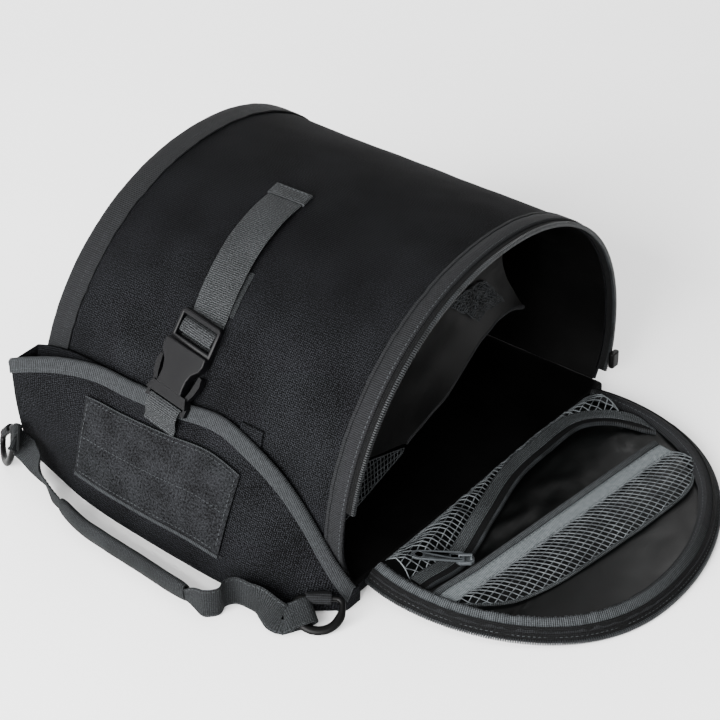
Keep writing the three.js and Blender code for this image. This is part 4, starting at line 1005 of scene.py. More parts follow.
# Door pocket, its lines as shares of the door: y, distance from the hinge, rise
UPPER_ZIP = [
    (-0.88, 0.237, 0.4), (-0.83, 0.245, 1.5), (-0.64, 0.27, 2.2), (-0.28, 0.208, 7.5), (0.04, 0.145, 9),
    (0.31, 0.135, 9), (0.58, 0.145, 8), (0.72, 0.22, 5), (0.8, 0.34, 1.7), (0.83, 0.38, 0.6),
]
LOWER_ZIP = [
    (-0.88, 0.268, 0.6), (-0.83, 0.272, 1.4), (-0.6, 0.3, 1.7), (0.04, 0.35, 1.7), (0.62, 0.395, 1.7),
    (0.7, 0.402, 1.6), (0.76, 0.408, 1.2),
]
LOWER_MESH = [
    (-0.85, 0.4, 0), (-0.79, 0.46, 0), (-0.68, 0.54, 0), (-0.48, 0.6, 0), (-0.1, 0.65, 0),
    (0.28, 0.685, 0), (0.55, 0.69, 0), (0.68, 0.65, 0),
]
MESH_PUFF = 0.3


def on_door(y, reach, rise):
    s = reach * DOOR_LENGTH
    return vec(HINGE + s, y * DOOR_HALF, door_floor(s) + DOOR_TOP + rise)


def door_frames(table, steps):
    """Level frames along a table's line, across pointing away from the hinge."""
    found = []
    for at, tangent in curve_through([on_door(*row) for row in table], steps):
        found.append((at, vec(tangent.y, -tangent.x, 0).normalized(), vec(0, 0, 1)))
    return found


def inside_rim(p):
    s = max(p.x - HINGE, 0)
    return rim_half(s, DOOR_BAND + 2 * GAP) - abs(p.y - door_shift(s))


def facing_widths(frames):
    widths = []
    for at, across, _ in frames:
        width = FACING
        while width > 2 * COIL_RADIUS and inside_rim(at - across * width) < 0:
            width -= 0.5
        widths.append(width)
    for _ in range(6):
        between = [(a + 2 * b + c) / 4 for a, b, c in zip(widths, widths[1:], widths[2:])]
        widths = [widths[0], *between, widths[-1]]
    return widths


def net(name, starts, ends, swell, flat, replaces, seed, crumple, finish="net"):
    """Knitted net between two lines of points: leaning square meshes of solid strands."""
    lengths = lengths_along(starts)
    spans = [(b - a).length for a, b in zip(starts, ends)]
    total, widest = lengths[-1], max(spans)

    def place(u, v):
        u = clamp(u, 0, total)
        i = 0
        while i < len(lengths) - 2 and lengths[i + 1] < u:
            i += 1
        share = (u - lengths[i]) / max(lengths[i + 1] - lengths[i], 1e-6)
        a, b = starts[i].lerp(starts[i + 1], share), ends[i].lerp(ends[i + 1], share)
        span = max(mix(spans[i], spans[i + 1], share), 0.01)
        down = clamp(v / span, 0, 1)
        p = a.lerp(b, down)
        loose = math.sin(math.pi * down) ** 0.5 if 0 < down < 1 else 0
        rise = swell(u / total, down, span)
        rise += crumple * loose * (0.5 + rough(p, 11, seed) + 0.6 * rough(p, 5, seed + 1))
        return (p + vec(0, 0, rise)) * MM, 0 < v < span and 0 < u < total

    along, down = NET_LEAN
    rows = int(widest / NET_PITCH) + 2
    columns = int(total / NET_PITCH) + 2
    before = int(down * (rows + along * columns)) + 2
    deep = rows + int(along * columns) + 2
    points, inside = [], []
    for i in range(-before, columns + 1):
        for k in range(-int(along * before) - 2, deep):
            at, within = place((i + down * k) * NET_PITCH, (k - along * i) * NET_PITCH)
            points.append(at)
            inside.append(within)
    deep += int(along * before) + 2
    faces = []
    for i in range(columns + before):
        for k in range(deep - 1):
            a = i * deep + k
            corners = (a, a + 1, a + deep + 1, a + deep)
            if any(inside[c] for c in corners):
                faces.append(corners)
    mesh = new_mesh(name, points, faces)
    work = bmesh.new()
    work.from_mesh(mesh)
    bmesh.ops.delete(work, geom=[v for v in work.verts if not v.link_faces], context="VERTS")
    bmesh.ops.remove_doubles(work, verts=work.verts, dist=0.4 * MM)
    bmesh.ops.dissolve_degenerate(work, dist=0.3 * MM, edges=work.edges)
    bmesh.ops.delete(work, geom=[v for v in work.verts if not v.link_faces], context="VERTS")
    work.to_mesh(mesh)
    work.free()
    piece = settle(mesh, name, finish, replaces)
    strands = piece.modifiers.new("strands", "WIREFRAME")
    strands.thickness = STRAND * MM
    strands.use_even_offset = False
    strands.use_boundary = True
    bpy.ops.object.modifier_apply(modifier="strands")
    knit = sum(polygon.area for polygon in piece.data.polygons) / 2 / STRAND_STRETCH
    clamp(knit, 0.31 * flat[0] * flat[1], flat[0] * flat[1])


def edge_strip(name, points, outs, width, thickness, finish):
    """A narrow tape along a line, its width across the line in the surface."""
    frames = []
    for i, at in enumerate(points):
        tangent = points[min(i + 1, len(points) - 1)] - points[max(i - 1, 0)]
        across = tangent.cross(outs[i]).normalized()
        frames.append((at, across, outs[i]))
    return sweep(name, frames, band(-width / 2, width / 2, 0, thickness), finish)


def make_door_pocket():
    steps = 120
    upper = door_frames(UPPER_ZIP, steps)
    widths = facing_widths(upper)
    half = ZIP_THICKNESS / 2
    rings = []
    for (at, across, out), width in zip(upper, widths):
        sag = 0.5 * rough(at, 20, 31)
        fold = min(6.5, width * 0.5)
        section = [(-width, -half), (-width, half), (-width + 0.8, half + 0.7), (-width + 1.8, half + 0.3),
                   (-(width + fold) / 2, half + 0.6 + sag), (-fold - 0.7, half + 0.5 + sag),
                   (-fold, half + 0.1), (-fold + 0.1, half - 0.5), (-fold + 0.5, half - 0.2), (-2.2, half),
                   (0.2, half * 0.6), (0.2, -half * 0.6), (-3.5, -half), (-width * 0.6, -half)]
        rings.append([at + across * a + out * b for a, b in section])
    facing = skin("upper_zip_facing", smooth_rings(rings), "facing", ("pocket_zip_upper",),
                  cap="whole")
    second_finish(facing, "zip_tape", 14, steps, 6, 12)
    teeth([(at + out * 0.2, across, out) for at, across, out in upper], 2.6, 2.8)
    outs = [vec(0, 0, 1)] * (steps + 1)
    stitch_line([at - across * min(8.2, width * 0.6) + out * (half + 0.45)
                 for (at, across, out), width in zip(upper, widths)], outs)

    starts, ends = [], []
    fine = 138
    for at, across, out in door_frames(UPPER_ZIP, fine):
        share = len(ends) / fine
        width = widths[int(share * steps)]
        end = at - across * (width - 1) - out * (half + 0.2)
        start = vec(HINGE + TAPE, clamp(end.y, -DOOR_HALF + 26, DOOR_HALF - 26), door_floor(0) + DOOR_TOP)
        starts.append(start)
        ends.append(end)
    net("upper_net", starts, ends, lambda side, share, span: MESH_PUFF * span * math.sin(math.pi * share),
        (0.25, 0.04), ("door_mesh_upper",), 41, 2.2)

    lower = door_frames(LOWER_ZIP, steps)
    section = [(-0.6, -half), (LOWER_TAPE, -half), (LOWER_TAPE, 0), (LOWER_TAPE - 0.7, half),
               (3.2, half + 0.7), (1.4, half + 0.8), (0, half + 0.2), (-0.6, 0)]
    sweep("lower_zip_tape", lower, section, "rim", ("pocket_zip_lower",), cap="whole")
    start, end = LOWER_TAPE + GAP, LOWER_TAPE + GAP + TRIM_BAND
    rings = []
    for at, across, out in lower:
        level = at + out * (0.35 * rough(at, 24, 33))
        rings.append([level + across * a + out * b for a, b in band(start, end, -TAPE, 0)])
    skin("light_trim_band", rings, "trim", ("pocket_trim_band",))
    for inset in (start + 1.4, end - 1.6):
        stitch_line([at + across * inset + out * 0.12 for at, across, out in lower], outs)

    fine = 122
    edge = curve_through([on_door(*row) for row in LOWER_MESH], fine)
    starts = [at + across * (end - 1) - out * TAPE * 0.8 for at, across, out in door_frames(LOWER_ZIP, fine)]
    line = [at for at, _ in edge]
    ends = []
    for start in starts:
        near = min(line, key=lambda at: abs(at.y - start.y))
        ends.append(vec(max(near.x, start.x + 1), start.y, near.z))
    net("lower_net", starts, ends, lambda side, share, span: 3.6 * math.sin(math.pi * share) ** 0.8 + 0.4,
        (0.235, 0.045), ("door_mesh_lower",), 45, 0.5)
    strip = [at + vec(0, 0, 0.4) for at, _ in edge]
    edge_strip("lower_net_hem", strip, [vec(0, 0, 1)] * len(strip), 3.2, 0.9, "facing")


def make_sliders():
    rounded_copy("pocket_slider_body", "pocket_slider", "zinc", 0.45, 3)
    rounded_copy("mouth_slider_body", "main_zip_slider", "slider", 0.8, 3)
    rounded_copy("pull_tab_plate", "pull_tab", "zinc", 0.25, 2, body="pull", panel=1.1)


# Front pocket, station by station: x over half the tunnel's length; top, proud and reach
# as shares of the pocket's height, of how far its corner stands off and of its reach.
POCKET = [
    (-1.02, 0.885, 1, 0.4), (-0.93, 0.92, 0.85, 0.47), (-0.78, 0.95, 0.5, 0.6),
    (-0.58, 0.95, 0.14, 0.76), (-0.36, 0.93, 0.03, 0.86), (-0.08, 0.94, 0, 0.93),
    (0.2, 0.975, 0, 0.98), (0.41, 0.9, 0, 1), (0.62, 0.77, 0, 0.98), (0.77, 0.61, 0, 0.88),
    (0.89, 0.42, 0.02, 0.7), (0.98, 0.25, 0.08, 0.48), (1.04, 0.13, 0.14, 0.32),
]
POCKET_BACK = GAP + TAPE + 4 * GAP
FACE_END = 0.94
SEAM_SHARE = 0.775
ON_POCKET = 1.02


def pocket_row(x):
    """top, proud and reach at x, on smooth curves through the stations."""
    at = clamp(x / HALF, POCKET[0][0], POCKET[-1][0])
    i = 1
    while i < len(POCKET) - 1 and POCKET[i][0] < at:
        i += 1
    share = (at - POCKET[i - 1][0]) / (POCKET[i][0] - POCKET[i - 1][0])
    found = []
    for column in (1, 2, 3):
        a, b = POCKET[i - 1], POCKET[i]
        before = POCKET[max(i - 2, 0)]
        after = POCKET[min(i + 1, len(POCKET) - 1)]
        step = b[0] - a[0]
        slope_a = (b[column] - before[column]) / (b[0] - before[0]) * step
        slope_b = (after[column] - a[column]) / (after[0] - a[0]) * step
        s2, s3 = share * share, share ** 3
        found.append((2 * s3 - 3 * s2 + 1) * a[column] + (s3 - 2 * s2 + share) * slope_a
                     + (3 * s2 - 2 * s3) * b[column] + (s3 - s2) * slope_b)
    return found


def side_half(height):
    if height < SEAM:
        return PAD_HALF + GAP
    y, _, _ = arch.at(arch.near_at(height - SEAM))
    return max(POCKET_BACK - y, PAD_HALF + GAP)


def pocket_face(x, share, off=0.0):
    """A point of the pocket's face, a share down from its top edge, moved off it."""
    top_share, proud, reach = pocket_row(x)
    top = top_share * POCKET_HEIGHT
    face_top = side_half(top) + CLOTH + max(proud, 0) * POCKET_PROUD
    foot = PAD_HALF + reach * POCKET_REACH

    def place(s):
        belly = POCKET_BELLY * top_share * math.sin(math.pi * s)
        return mix(face_top, foot, s) + belly, max(top * (1 - s), 0)

    here, ahead = place(share), place(share + 0.02)
    step = Vector((ahead[0] - here[0], ahead[1] - here[1])).normalized()
    return vec(x, -(here[0] - step[1] * off), here[1] + step[0] * off)


def face_normal(x, share):
    return (pocket_face(x, share, 1) - pocket_face(x, share)).normalized()


def pocket_folds(p, share):
    """Soft hollows of the cloth, deeper near the foot and the free corner."""
    loose = 0.3 + 0.9 * share + clamp((-p.x - 90) / 60, 0, 1)
    return -loose * (0.8 + rough(p, 34, 51) + 0.5 * rough(p, 15, 52))


def make_pocket():
    first, last = POCKET[0][0] * HALF, POCKET[-1][0] * HALF
    columns, down, up = 110, 26, 14
    points = []
    for i in range(columns + 1):
        x = mix(first, last, i / columns)
        top = pocket_row(x)[0] * POCKET_HEIGHT
        line = []
        for k in range(up + 1):
            height = top * (1 - k / up)
            line.append(vec(x, -side_half(height), height))
        foot = pocket_face(x, FACE_END)
        line.append(vec(x, foot.y + 4, 0))
        for k in range(down, -1, -1):
            share = FACE_END * k / down
            p = pocket_face(x, share)
            edge = min(1, share * 6, (FACE_END - share) * 10 + 0.2, (x - first) / 8, (last - x) / 8)
            line.append(p + face_normal(x, share) * (pocket_folds(p, share) * edge))
        points.append(line)
    count = len(points[0])
    corners = [p * MM for line in points for p in line]
    faces, places = [], []
    for i in range(columns):
        length = 0.0
        for j in range(count - 1):
            step = (points[i][j + 1] - points[i][j]).length * MM
            a = i * count + j
            faces.append((a, a + 1, a + count + 1, a + count))
            u0, u1 = points[i][0].x * MM, points[i + 1][0].x * MM
            places.append(((u0, length), (u0, length + step), (u1, length + step), (u1, length)))
            length += step
    # The end walls, between the back line and the face line.
    for i in (0, columns):
        start = i * count
        half = min(up + 1, down + 1)
        for k in range(half):
            a0 = start + round(k * up / half)
            a1 = start + round((k + 1) * up / half)
            b0 = start + count - 1 - round(k * down / half)
            b1 = start + count - 1 - round((k + 1) * down / half)
            ring = [a0] + ([a1] if a1 != a0 else []) + ([b1] if b1 != b0 else []) + [b0]
            faces.append(tuple(ring))
            places.append(tuple((corners[v].y, corners[v].z) for v in ring))
    mesh = new_mesh("pocket_cloth", corners, faces, places)
    pocket = settle(mesh, "pocket_cloth", "canvas", ("front_pocket",))
    thick = pocket.modifiers.new("thickness", "SOLIDIFY")
    thick.thickness = CLOTH * MM
    thick.offset = -1
    bpy.ops.object.modifier_apply(modifier="thickness")


def make_pocket_tape():
    first, last = POCKET[0][0] * HALF, POCKET[-1][0] * HALF
    steps = 200
    rings, outs = [], []
    for i in range(steps + 1):
        x = mix(first, last, i / steps)
        height = pocket_row(x)[0] * POCKET_HEIGHT
        edge, below = pocket_face(x, 0), pocket_face(x, 0.12)
        down = (below - edge).normalized()
        out = vec(0, down.z, -down.y).normalized()
        left = clamp((-x - 60) / 70, 0, 1)
        fold = (0.25 + 0.9 * left) * noise.noise(vec(x / mix(9, 13, left), 3, 0))
        under, top = ON_POCKET, ON_POCKET + TAPE
        low = min(POCKET_BINDING - 1.6, 0.9 * height)
        section = [(low, under), (low, top + fold * 0.5), (low * 0.75, top + 0.3 + fold),
                   (low * 0.3, top + 0.25 + fold), (-0.8, top + 0.1), (-2.2, top - 0.6),
                   (-2.9, under - 0.7), (-2.9, -0.6), (-1.6, -1), (-1.6, under)]
        rings.append([edge + down * a + out * b for a, b in section])
        outs.append(out)
    skin("pocket_edge_binding", rings, "binding", ("pocket_binding",), cap="whole")
    path = [a.lerp(b, 0.25) + n * 0.1 for a, b, n in zip(line_of(rings, 2), line_of(rings, 3), outs)]
    stitch_line(path, outs)
    # Seam across the face at the loop panel's lower edge.
    path, outs = [], []
    for i in range(161):
        x = mix(LOOP_X - LOOP_WIDTH / 2 - 3, LOOP_X + LOOP_WIDTH / 2 + 3, i / 160)
        out = face_normal(x, SEAM_SHARE)
        at = pocket_face(x, SEAM_SHARE)
        path.append(at + out * (pocket_folds(at, SEAM_SHARE) + 0.1))
        outs.append(out)
    edge_strip("pocket_seam", path, outs, 1.8, 0.9, "tape")


def make_loop_panel():
    columns, rows = 72, 30
    length = (pocket_face(LOOP_X, FACE_END) - pocket_face(LOOP_X, 0)).length / FACE_END
    corner = 0.6

    def place(side, down, off):
        x = LOOP_X + LOOP_WIDTH * side
        share = LOOP_TOP + down * LOOP_HEIGHT / length
        return pocket_face(x, share, off)

    rings = []
    for i in range(columns + 1):
        side = i / columns - 0.5
        from_end = min(i, columns - i) * LOOP_WIDTH / columns
        cut = (corner - math.sqrt(max(corner ** 2 - (corner - min(from_end, corner)) ** 2, 0))) / LOOP_HEIGHT
        top, under = [], []
        for j in range(rows + 1):
            down = mix(cut, 1 - cut, j / rows)
            near_edge = min(from_end, (down - cut) * LOOP_HEIGHT, (1 - cut - down) * LOOP_HEIGHT)
            crown = math.sqrt(clamp(near_edge / 1.2, 0, 1))
            pillow = 0.35 * clamp((near_edge - 3) / 8, 0, 1) - (0.3 if 2 < near_edge < 3.6 else 0)
            wave = 0.3 * rough(vec(side * LOOP_WIDTH, down * LOOP_HEIGHT, 0), 26, 61)
            top.append(place(side, down, 1.1 + 0.5 + 1.0 * crown + pillow + wave * crown))
            under.append(place(side, down, 1.0))
        rings.append(under + top[::-1])
    skin("loop_field", rings, "pile", ("loop_panel",))
    inset = 2.8
    end = 0.5 - inset / LOOP_WIDTH
    out = face_normal(LOOP_X, LOOP_TOP)
    for down, lift in ((inset, 2.6), (LOOP_HEIGHT - inset, 2.6), (LOOP_HEIGHT / 2, 3.1)):
        path = [place(mix(-end, end, i / 120), down / LOOP_HEIGHT, lift) for i in range(121)]
        stitch_line(path, [out] * 121)
    # Painted highlights: thin raised strips in the lighter binding finish along the panel's lower and upper
    # edges, standing for the light its edges catch.
    for name, down, width, lift in (("loop_lower_edge_highlight", 1.025, 2.4, 1.4), ("loop_upper_edge_highlight", 0.0, 0.9, 2.2)):
        path = [place(i / 80 - 0.5, down, lift) for i in range(81)]
        edge_strip(name, path, [out] * 81, width, 0.9, "binding")
    for side in (-end, end):
        path = [place(side, mix(inset, LOOP_HEIGHT - inset, i / 60) / LOOP_HEIGHT, 2.55) for i in range(61)]
        stitch_line(path, [out] * 61)


def make_body_tab():
    edge = pocket_face(TAB_X, 0).z
    shown = down_to(edge + 4 + TAPE)
    rings = []
    for i in range(13):
        x = TAB_X + TAB_WIDTH * i / 12
        ring = [near_wall(x, shown + 22 * k / 8, GAP) for k in range(9)]
        outer = [near_wall(x, shown + 22 * k / 8, GAP + TAPE) for k in range(9)]
        rings.append(ring + outer[::-1])
    skin("wall_tab", rings, "canvas", ("body_tab",))


# Closure strap: the way down from the fold to the buckle's upper end (1), and past that in
# lengths of the buckle, with the lift as a share of the buckle's.
STRAP = [
    (0.01, 0.18), (0.2, 0.65), (0.485, 0.95), (0.8, 0.65), (1.029, 0.3), (1.083, 0.3), (1.105, 0.8),
    (1.125, 1.12), (1.175, 1.22), (1.23, 1.12), (1.25, 0.8), (1.27, 0.25), (1.3, 0.09),
]
FOLD_END = FOLD_START + FOLD_LENGTH
BUCKLE_TOP = down_to(pocket_face(BUCKLE_X, 0).z) - BUCKLE_ABOVE


def strap_x(down):
    above = max(0, 1 - down / BUCKLE_TOP)
    below = max(0, down - BUCKLE_TOP) / BUCKLE_LENGTH
    return BUCKLE_X + (STRAP_TOP_X - BUCKLE_X) * above - BUCKLE_SLANT * below


buckle_head = near_wall(BUCKLE_X, BUCKLE_TOP, BUCKLE_LIFT)
buckle_foot = near_wall(BUCKLE_X - BUCKLE_SLANT, BUCKLE_TOP + BUCKLE_LENGTH * 0.97, BUCKLE_FOOT_LIFT)
buckle_up = (buckle_head - buckle_foot).normalized()
buckle_out = vec(1, 0, 0).cross(buckle_up).normalized()
buckle_across = buckle_up.cross(buckle_out)


def in_buckle(x, y, z):
    return buckle_foot + buckle_across * x + buckle_up * y + buckle_out * z


def strap_frames(rows, steps, shift=0.0):
    points = [near_wall(strap_x(down) + shift, down, lift) for down, lift in rows]
    sideways = [vec(1, 0, 0).lerp(buckle_across, min(1, down / BUCKLE_TOP) ** 4) for down, _ in rows]
    return [(at, across, out * (-1 if out.z < 0 else 1))
            for at, across, out in frames_through(points, sideways, steps)]


def edge_stitches(frames, width, inset, top):
    outs = [out for _, _, out in frames]
    for side in (-1, 1):
        aside = side * (width / 2 - inset)
        stitch_line([at + across * aside + out * top for at, across, out in frames], outs)


def make_strap():
    fold = [(FOLD_START + share * FOLD_LENGTH, GAP) for share in (0, 0.25, 0.5, 0.75, 1)]
    half = (WEBBING + 3) / 2
    frames = strap_frames(fold, 24)
    top = 2 * WEB_THICKNESS
    sweep("strap_sewn_end", frames, band(-half, half, 0, top), "webbing", ("strap_fold",))
    edge_stitches(frames, WEBBING + 3, 2.5, top)
    for k in (3, 21):
        at, across, out = frames[k]
        path = [at + across * mix(-half + 2.5, half - 2.5, i / 20) + out * top for i in range(21)]
        stitch_line(path, [out] * 21)
    rows = []
    for way, lift in STRAP:
        down = mix(FOLD_END, BUCKLE_TOP, way) if way < 1 else BUCKLE_TOP + (way - 1) * BUCKLE_LENGTH
        rows.append((down, lift * BUCKLE_LIFT))
    half = WEBBING / 2
    profile = band(-half, half, 0, WEB_THICKNESS)
    sweep("closure_webbing", strap_frames(rows, 160), profile, "webbing", ("closure_strap",))
    tail = [(BUCKLE_TOP - 6 - share * 35, 2 * GAP) for share in (1, 0.75, 0.5, 0.25, 0)]
    loose = strap_frames(tail, 30, TAIL_SHIFT)
    sweep("strap_loose_end", loose, profile, "handle", ("strap_tail",))

    over = BUCKLE_THICKNESS * 0.5 + 2 * GAP

    def on_face(drop, share, off):
        return pocket_face(in_buckle(0, -drop, 0).x, share, ON_POCKET + off)

    route = [in_buckle(0, 3.6, over - 1.6), in_buckle(0, 0, over), in_buckle(0, -6, over - 1),
             on_face(12, 0.13, TAPE + 3 * GAP), on_face(17, LOOP_TOP - 0.03, 4 * GAP)]
    frames = [(at, across, out * (-1 if out.y > 0 else 1))
              for at, across, out in frames_through(route, [buckle_across] * len(route), 40)]
    sweep("lower_webbing", frames, profile, "webbing", ("strap_lower",))


def make_buckle():
    rounded_copy("buckle_female", "buckle_socket", "buckle", 0.9, 3)
    rounded_copy("buckle_male", "buckle_plug", "buckle", 0.8, 3)


# Rings and handle
RING_WIDTH = 38
RING_WIRE = 4.6
TAB_WEBBING = 18
RING_RADIUS = (RING_WIDTH - RING_WIRE) / 2
BAR_SETBACK = RING_RADIUS * 0.4


# D-rings: where their tab is sewn, the arc's middle from there, the bar's direction, the
# direction away from the bar, and where on the arc the handle loops round it.
RINGS = {
    "left": (pocket_face(-HALF * 1.02, 0.86) + vec(-CLOTH, -CLOTH, 0), vec(-8.1, -8, 5.9),
             vec(0.669, -0.258, 0.704), vec(0.5, -0.57, -0.66), 8),
    "right": (pocket_face(HALF * 0.93, 0.6, 2 * WEB_THICKNESS), vec(7.1, -7.4, -4.1),
              vec(0.8, 0.58, 0), vec(0.49, -0.68, -0.55), 158),
}
LEFT_WEB = [
    (0.275, 0.574, 0.79, 0.68, vec(0.3, -0.4, -0.87)), (0.438, 0.517, 0.92, 0.24, vec(0, -0.2, -0.98)),
    (0.625, 0.633, 0.92, 0.07, vec(-0.3, 0.5, -0.8)), (0.8, 0.765, 0.71, 0.09, vec(-0.1, 0.2, -0.97)),
    (0.963, 0.804, 0.46, 0.165, vec(0, 0.1, -0.99)), (1.075, 0.848, 0.375, 0.208, vec(0, 0.1, -0.99)),
]
GRIP = [(0, 0.806), (0.18, 0.95), (0.39, 0.99), (0.6, 1.01), (0.81, 1.06), (1, 1.102)]
RIGHT_WEB = [
    (1.095, 1.093, 0.375, 0.208, vec(0, 0.1, -0.99)), (0.988, 1.108, 0.46, 0.165, vec(0, 0.1, -0.99)),
    (0.881, 1.148, 0.79, 0.07, vec(0, 0, -1)), (0.774, 1.178, 1, 0.01, vec(0, 0, -1)),
    (0.702, 0.896, 1, 0.01, vec(0, 0, -1)), (0.732, 0.547, 1, 0.01, vec(0, 0, -1)),
    (0.679, 0.264, 1, 0.01, vec(0, 0, -1)), (0.524, 0.264, 1, 0.01, vec(0, 0, -1)),
    (0.4, 0.4, 1, 0.03, vec(0.1, -0.2, -0.95)),
]


def ring_frames(side):
    anchor, centre, along, away, _ = RINGS[side]
    middle = anchor + centre
    angles = [math.pi * i / 32 for i in range(33)]
    flat = [(RING_RADIUS * math.cos(angle), RING_RADIUS * math.sin(angle)) for angle in angles]
    corner = RING_WIRE
    for x, first, last in ((-RING_RADIUS + corner, 180, 270), (RING_RADIUS - corner, 270, 360)):
        for i in range(7):
            angle = math.radians(mix(first, last, i / 6))
            flat.append((x + corner * math.cos(angle), corner - BAR_SETBACK + corner * math.sin(angle)))
    path = [middle + along * a + away * b for a, b in flat]
    normal = along.cross(away).normalized()
    found = []
    for i, at in enumerate(path):
        tangent = path[(i + 1) % len(path)] - path[i - 1]
        found.append((at, tangent.cross(normal).normalized(), normal))
    return found


def beside_pocket(x, off, lift, half_width):
    foot = -pocket_face(x, FACE_END).y
    return vec(x, -foot - off * HANDLE_OFF, FLOOR_CLEAR + half_width + lift * HANDLE_WEBBING)


def ring_loop(side):
    """Points and widthways directions of the webbing's loop round a ring's wire."""
    anchor, centre, along, away, degrees = RINGS[side]
    angle = math.radians(degrees)
    spoke = along * math.cos(angle) + away * math.sin(angle)
    middle = anchor + centre + spoke * RING_RADIUS
    normal = along.cross(away).normalized()
    if normal.z < 0:
        normal = -normal
    width = (away * math.cos(angle) - along * math.sin(angle)).normalized()
    if width.z > 0:
        width = -width
    r = RING_WIRE / 2 + GAP
    turns = ((14, -0.25), (8, -0.5), (3, -1.0), (0, -1.0))
    points = [middle + spoke * a + normal * (b * (r + 0.8)) for a, b in turns]
    for i in range(1, 6):
        turn = math.pi * i / 6
        points.append(middle - spoke * (math.sin(turn) * r) - normal * (math.cos(turn) * r))
    if side == "right":
        reach = ((-6, -1.0), (-10, -0.8), (-12, 0.0), (-10, 0.9), (-6, 1.1))
        points = points[:4] + [middle + spoke * a + normal * (b * (r + 0.4)) for a, b in reach]
    points += [middle + spoke * a + normal * (b * (r + 0.2)) for a, b in ((0, 1.0), (4, 0.95), (10, 0.55))]
    return points, [width] * len(points)


def tapered_web(name, rows, ring_x, grip_x, side, node):
    """Webbing from the ring to the sleeve, folded narrower where the table says so."""
    loop, sides = ring_loop(side)
    points = [beside_pocket(mix(ring_x, grip_x, row[0]), row[1], row[3], row[2] * HANDLE_WEBBING / 2)
              for row in rows]
    widths = [row[2] for row in rows]
    ways = [row[4] for row in rows]
    if side == "right":
        points, widths, ways = points[::-1], widths[::-1], ways[::-1]
    points = loop + points
    widths = [0.8] * (len(loop) - 1) + [0.88] + widths
    ways = sides + ways
    steps = 150
    frames = frames_through(points, ways, steps)
    width_of = curve_through([vec(w, 0, 0) for w in widths], steps)
    rings = []
    for (at, across, out), (w, _) in zip(frames, width_of):
        half = w.x * HANDLE_WEBBING / 2
        rings.append([at + across * a + out * b for a, b in band(-half, half, 0, WEB_THICKNESS)])
    skin(name, rings, "handle", (node,))
    for share in (0.86, -0.86):
        path = [at + across * (share * w.x * HANDLE_WEBBING / 2) + out * (WEB_THICKNESS + 0.05)
                for (at, across, out), (w, _) in list(zip(frames, width_of))[60:]]
        stitch_line(path, [out for _, _, out in frames[60:]])


def make_rings():
    radius = RING_WIRE / 2
    turns = [k * math.pi / 7 for k in range(14)]
    wire = [(radius * math.cos(turn), radius * math.sin(turn)) for turn in turns]
    arc_steps = 32
    for side, (anchor, centre, along, away, _) in RINGS.items():
        rings = []
        for i, (at, across, out) in enumerate(ring_frames(side)):
            broad = 1 + 0.45 * clamp(min(i, arc_steps - i) / 4, 0, 1)
            rings.append([at + across * (a * broad) + out * b for a, b in wire])
        skin(f"ring_{side}", rings, "ring", (f"dring_{side}",), closed=True)
        bar = anchor + centre - away * BAR_SETBACK
        r = RING_WIRE / 2 + GAP
        back = anchor - bar
        back = (back - along * back.dot(along)).normalized()
        lift = along.cross(back)
        route = [anchor]
        for i in range(7):
            angle = math.pi * (0.5 + i / 6)
            route.append(bar + back * (math.cos(angle) * r) + lift * (math.sin(angle) * r))
        half = TAB_WEBBING / 2
        frames = [(at, across, -out) for at, across, out in frames_through(route, [along] * len(route), 60)]
        profile = [(a, -b) for a, b in band(-half, half, 0, WEB_THICKNESS)]
        # Painted shade: the tabs take the dark tape finish, darker than webbing, as shade where they lie in
        # shadow.
        sweep(f"ring_tab_{side}", frames, profile, "tape", (f"dring_tab_{side}",))


def make_handle():
    end = GRIP_START + GRIP_LENGTH
    left = (RINGS["left"][0] + RINGS["left"][1]).x
    right = (RINGS["right"][0] + RINGS["right"][1]).x
    tapered_web("handle_webbing_left", LEFT_WEB, left, GRIP_START, "left", "handle_web_left")
    tapered_web("handle_webbing_right", RIGHT_WEB, right, end, "right", "handle_web_right")
    points = [beside_pocket(mix(GRIP_START, end, along), off, 0, GRIP_WIDTH / 2) for along, off in GRIP]
    frames = frames_through(points, [vec(0, 0.2, -0.98)] * len(points), 80)

    def oval(i, width, thickness):
        pinch = 1 - 0.16 * math.exp(-min(i, 80 - i) / 2.5)
        ring = []
        for k in range(28):
            angle = k / 28 * 2 * math.pi
            fold = 0.5 * math.exp(-((angle - 0.25 * math.pi) / 0.12) ** 2)
            ring.append((math.cos(angle) * (width / 2 * pinch + fold),
                         (math.sin(angle) * (thickness * pinch + 2 * fold) + WEB_THICKNESS) / 2))
        return ring

    def shell(width, thickness):
        rings = []
        for i, (at, across, out) in enumerate(frames):
            crease = 0.35 * rough(at, 16, 91)
            rings.append([at + across * (a * (1 + 0.04 * crease)) + out * (b + crease) for a, b in
                          oval(i, width, thickness)])
        return rings

    outside = shell(GRIP_WIDTH, GRIP_THICKNESS)
    inside = shell(GRIP_WIDTH - 3.2, GRIP_THICKNESS - 3.2)
    skin("handle_sleeve", outside + inside[::-1], "handle", ("handle_grip",), closed=True)


# Inside
FLAP_EDGE = [
    (-0.5, 0.363, 0.27), (-0.332, 0.373, 0.37), (-0.145, 0.393, 0.46), (0.06, 0.437, 0.61),
    (0.224, 0.471, 0.71), (0.35, 0.471, 0.8), (0.495, 0.447, 0.9), (0.628, 0.393, 1),
]
FLAP_THICKNESS = 1.4
FLAP_DEPTH = 9
FLAP_REACH = 41
FLAP_SAG = 9
FLAP_LOW = 0.49
FLAP_HIGH = 0.52
MESH_LOW = 0.265


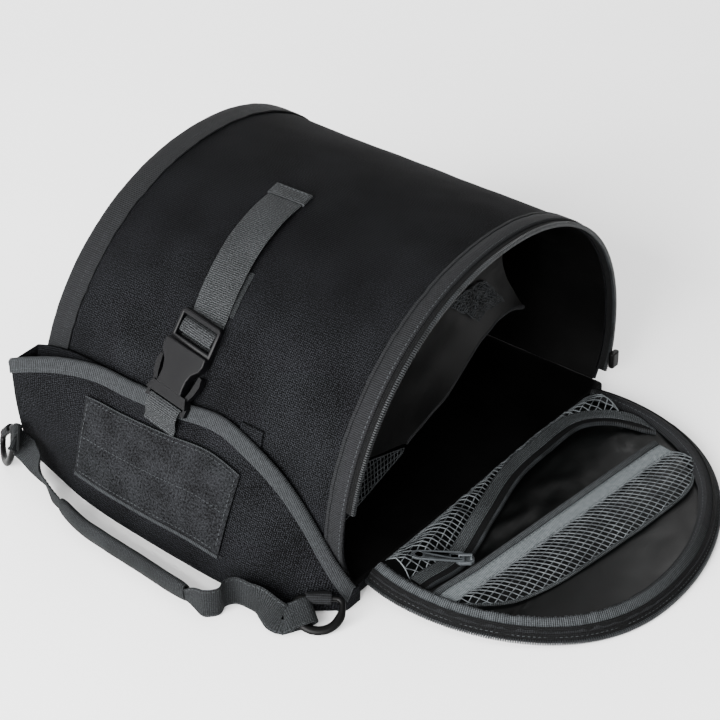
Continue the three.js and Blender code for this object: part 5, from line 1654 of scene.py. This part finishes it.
def make_inside():
    low = arch.near_at(FLAP_LOW * ARCH_HEIGHT)
    free_points = [vec(HALF - depth * FLAP_REACH, side * BULGE_HALF, SEAM + height * ARCH_HEIGHT)
                   for side, height, depth in FLAP_EDGE]
    steps, across_steps = 90, 26
    free = [p for p, _ in curve_through(free_points, steps)]
    grid = []
    for i in range(steps + 1):
        way = i / steps
        edge = wall_point(HALF - FLAP_DEPTH, mix(low, FLAP_HIGH, way), -WALL - 3 * GAP)
        row = []
        for j in range(across_steps + 1):
            share = j / across_steps
            p = edge.lerp(free[i], share)
            p.x -= FLAP_SAG * math.sin(math.pi * share) * way
            p.x += 1.6 * math.sin(math.pi * share) * rough(p, 30, 71)
            p.z += 1.2 * share * noise.noise(vec(way * 9, 0, 5))
            row.append(p)
        grid.append(row)
    flap = cloth("apex_flap", grid, -FLAP_THICKNESS, "inner", ("inner_flap",))
    hem = [row[-1] for row in grid]
    outs = [-line[-1] for line in normals_of(grid)]
    frames = []
    for i, at in enumerate(hem):
        tangent = (hem[min(i + 1, steps)] - hem[max(i - 1, 0)]).normalized()
        frames.append((at + outs[i] * 0.9, tangent.cross(outs[i]).normalized(), outs[i]))
    piping = [(1.9 * math.cos(k * math.pi / 6), 1.5 * math.sin(k * math.pi / 6)) for k in range(12)]
    bound = sweep("flap_bound_edge", frames, piping, "tape", cap="whole")

    starts, ends = [], []
    columns = 22
    for i in range(columns + 1):
        way = mix(0.63, 0.84, i / columns)
        row = grid[int(way * steps)]
        normal = outs[int(way * steps)]
        starts.append(row[int(mix(5, 11, i / columns))] - normal * 2)
        ends.append(row[int(mix(19, 21, i / columns))] - normal * 4)
    net("apex_net", starts, ends, lambda side, share, span: 0.0, (0.07, 0.055), (), 77, 3.0,
        "shaded_net")

    drop = 2 * FLAP_THICKNESS
    first = wall_point(HALF - FLAP_DEPTH, low, -WALL - 3 * GAP)
    tip = free_points[0] + vec(0, -drop, -drop)
    bottom = wall_point(HALF - FLAP_DEPTH, arch.near_at(MESH_LOW * ARCH_HEIGHT), -WALL - 3 * GAP)
    starts, ends = [], []
    columns = 24
    for i in range(columns + 1):
        share = i / columns
        starts.append((first + vec(0, 0, -0.6 * drop)).lerp(tip, share))
        ends.append(bottom.lerp(tip + vec(0, -drop, -drop), share))
    net("inner_net", starts, ends, lambda side, share, span: 0.0, (0.04, 0.035), ("inner_mesh",),
        75, 1.2, "shaded_net")


finishes = make_finishes()
make_camera()
make_stage()
make_base()
make_wall()
make_closed_end()
make_tunnel_tapes()
make_door_panel()
make_door_rim()
make_door_zip()
make_door_pocket()
make_sliders()
make_pocket()
make_pocket_tape()
make_loop_panel()
make_body_tab()
make_strap()
make_buckle()
make_rings()
make_handle()
make_inside()
gather("seam_stitches", stitch_solids, "thread")
gather("zip_teeth", tooth_solids, "coil")
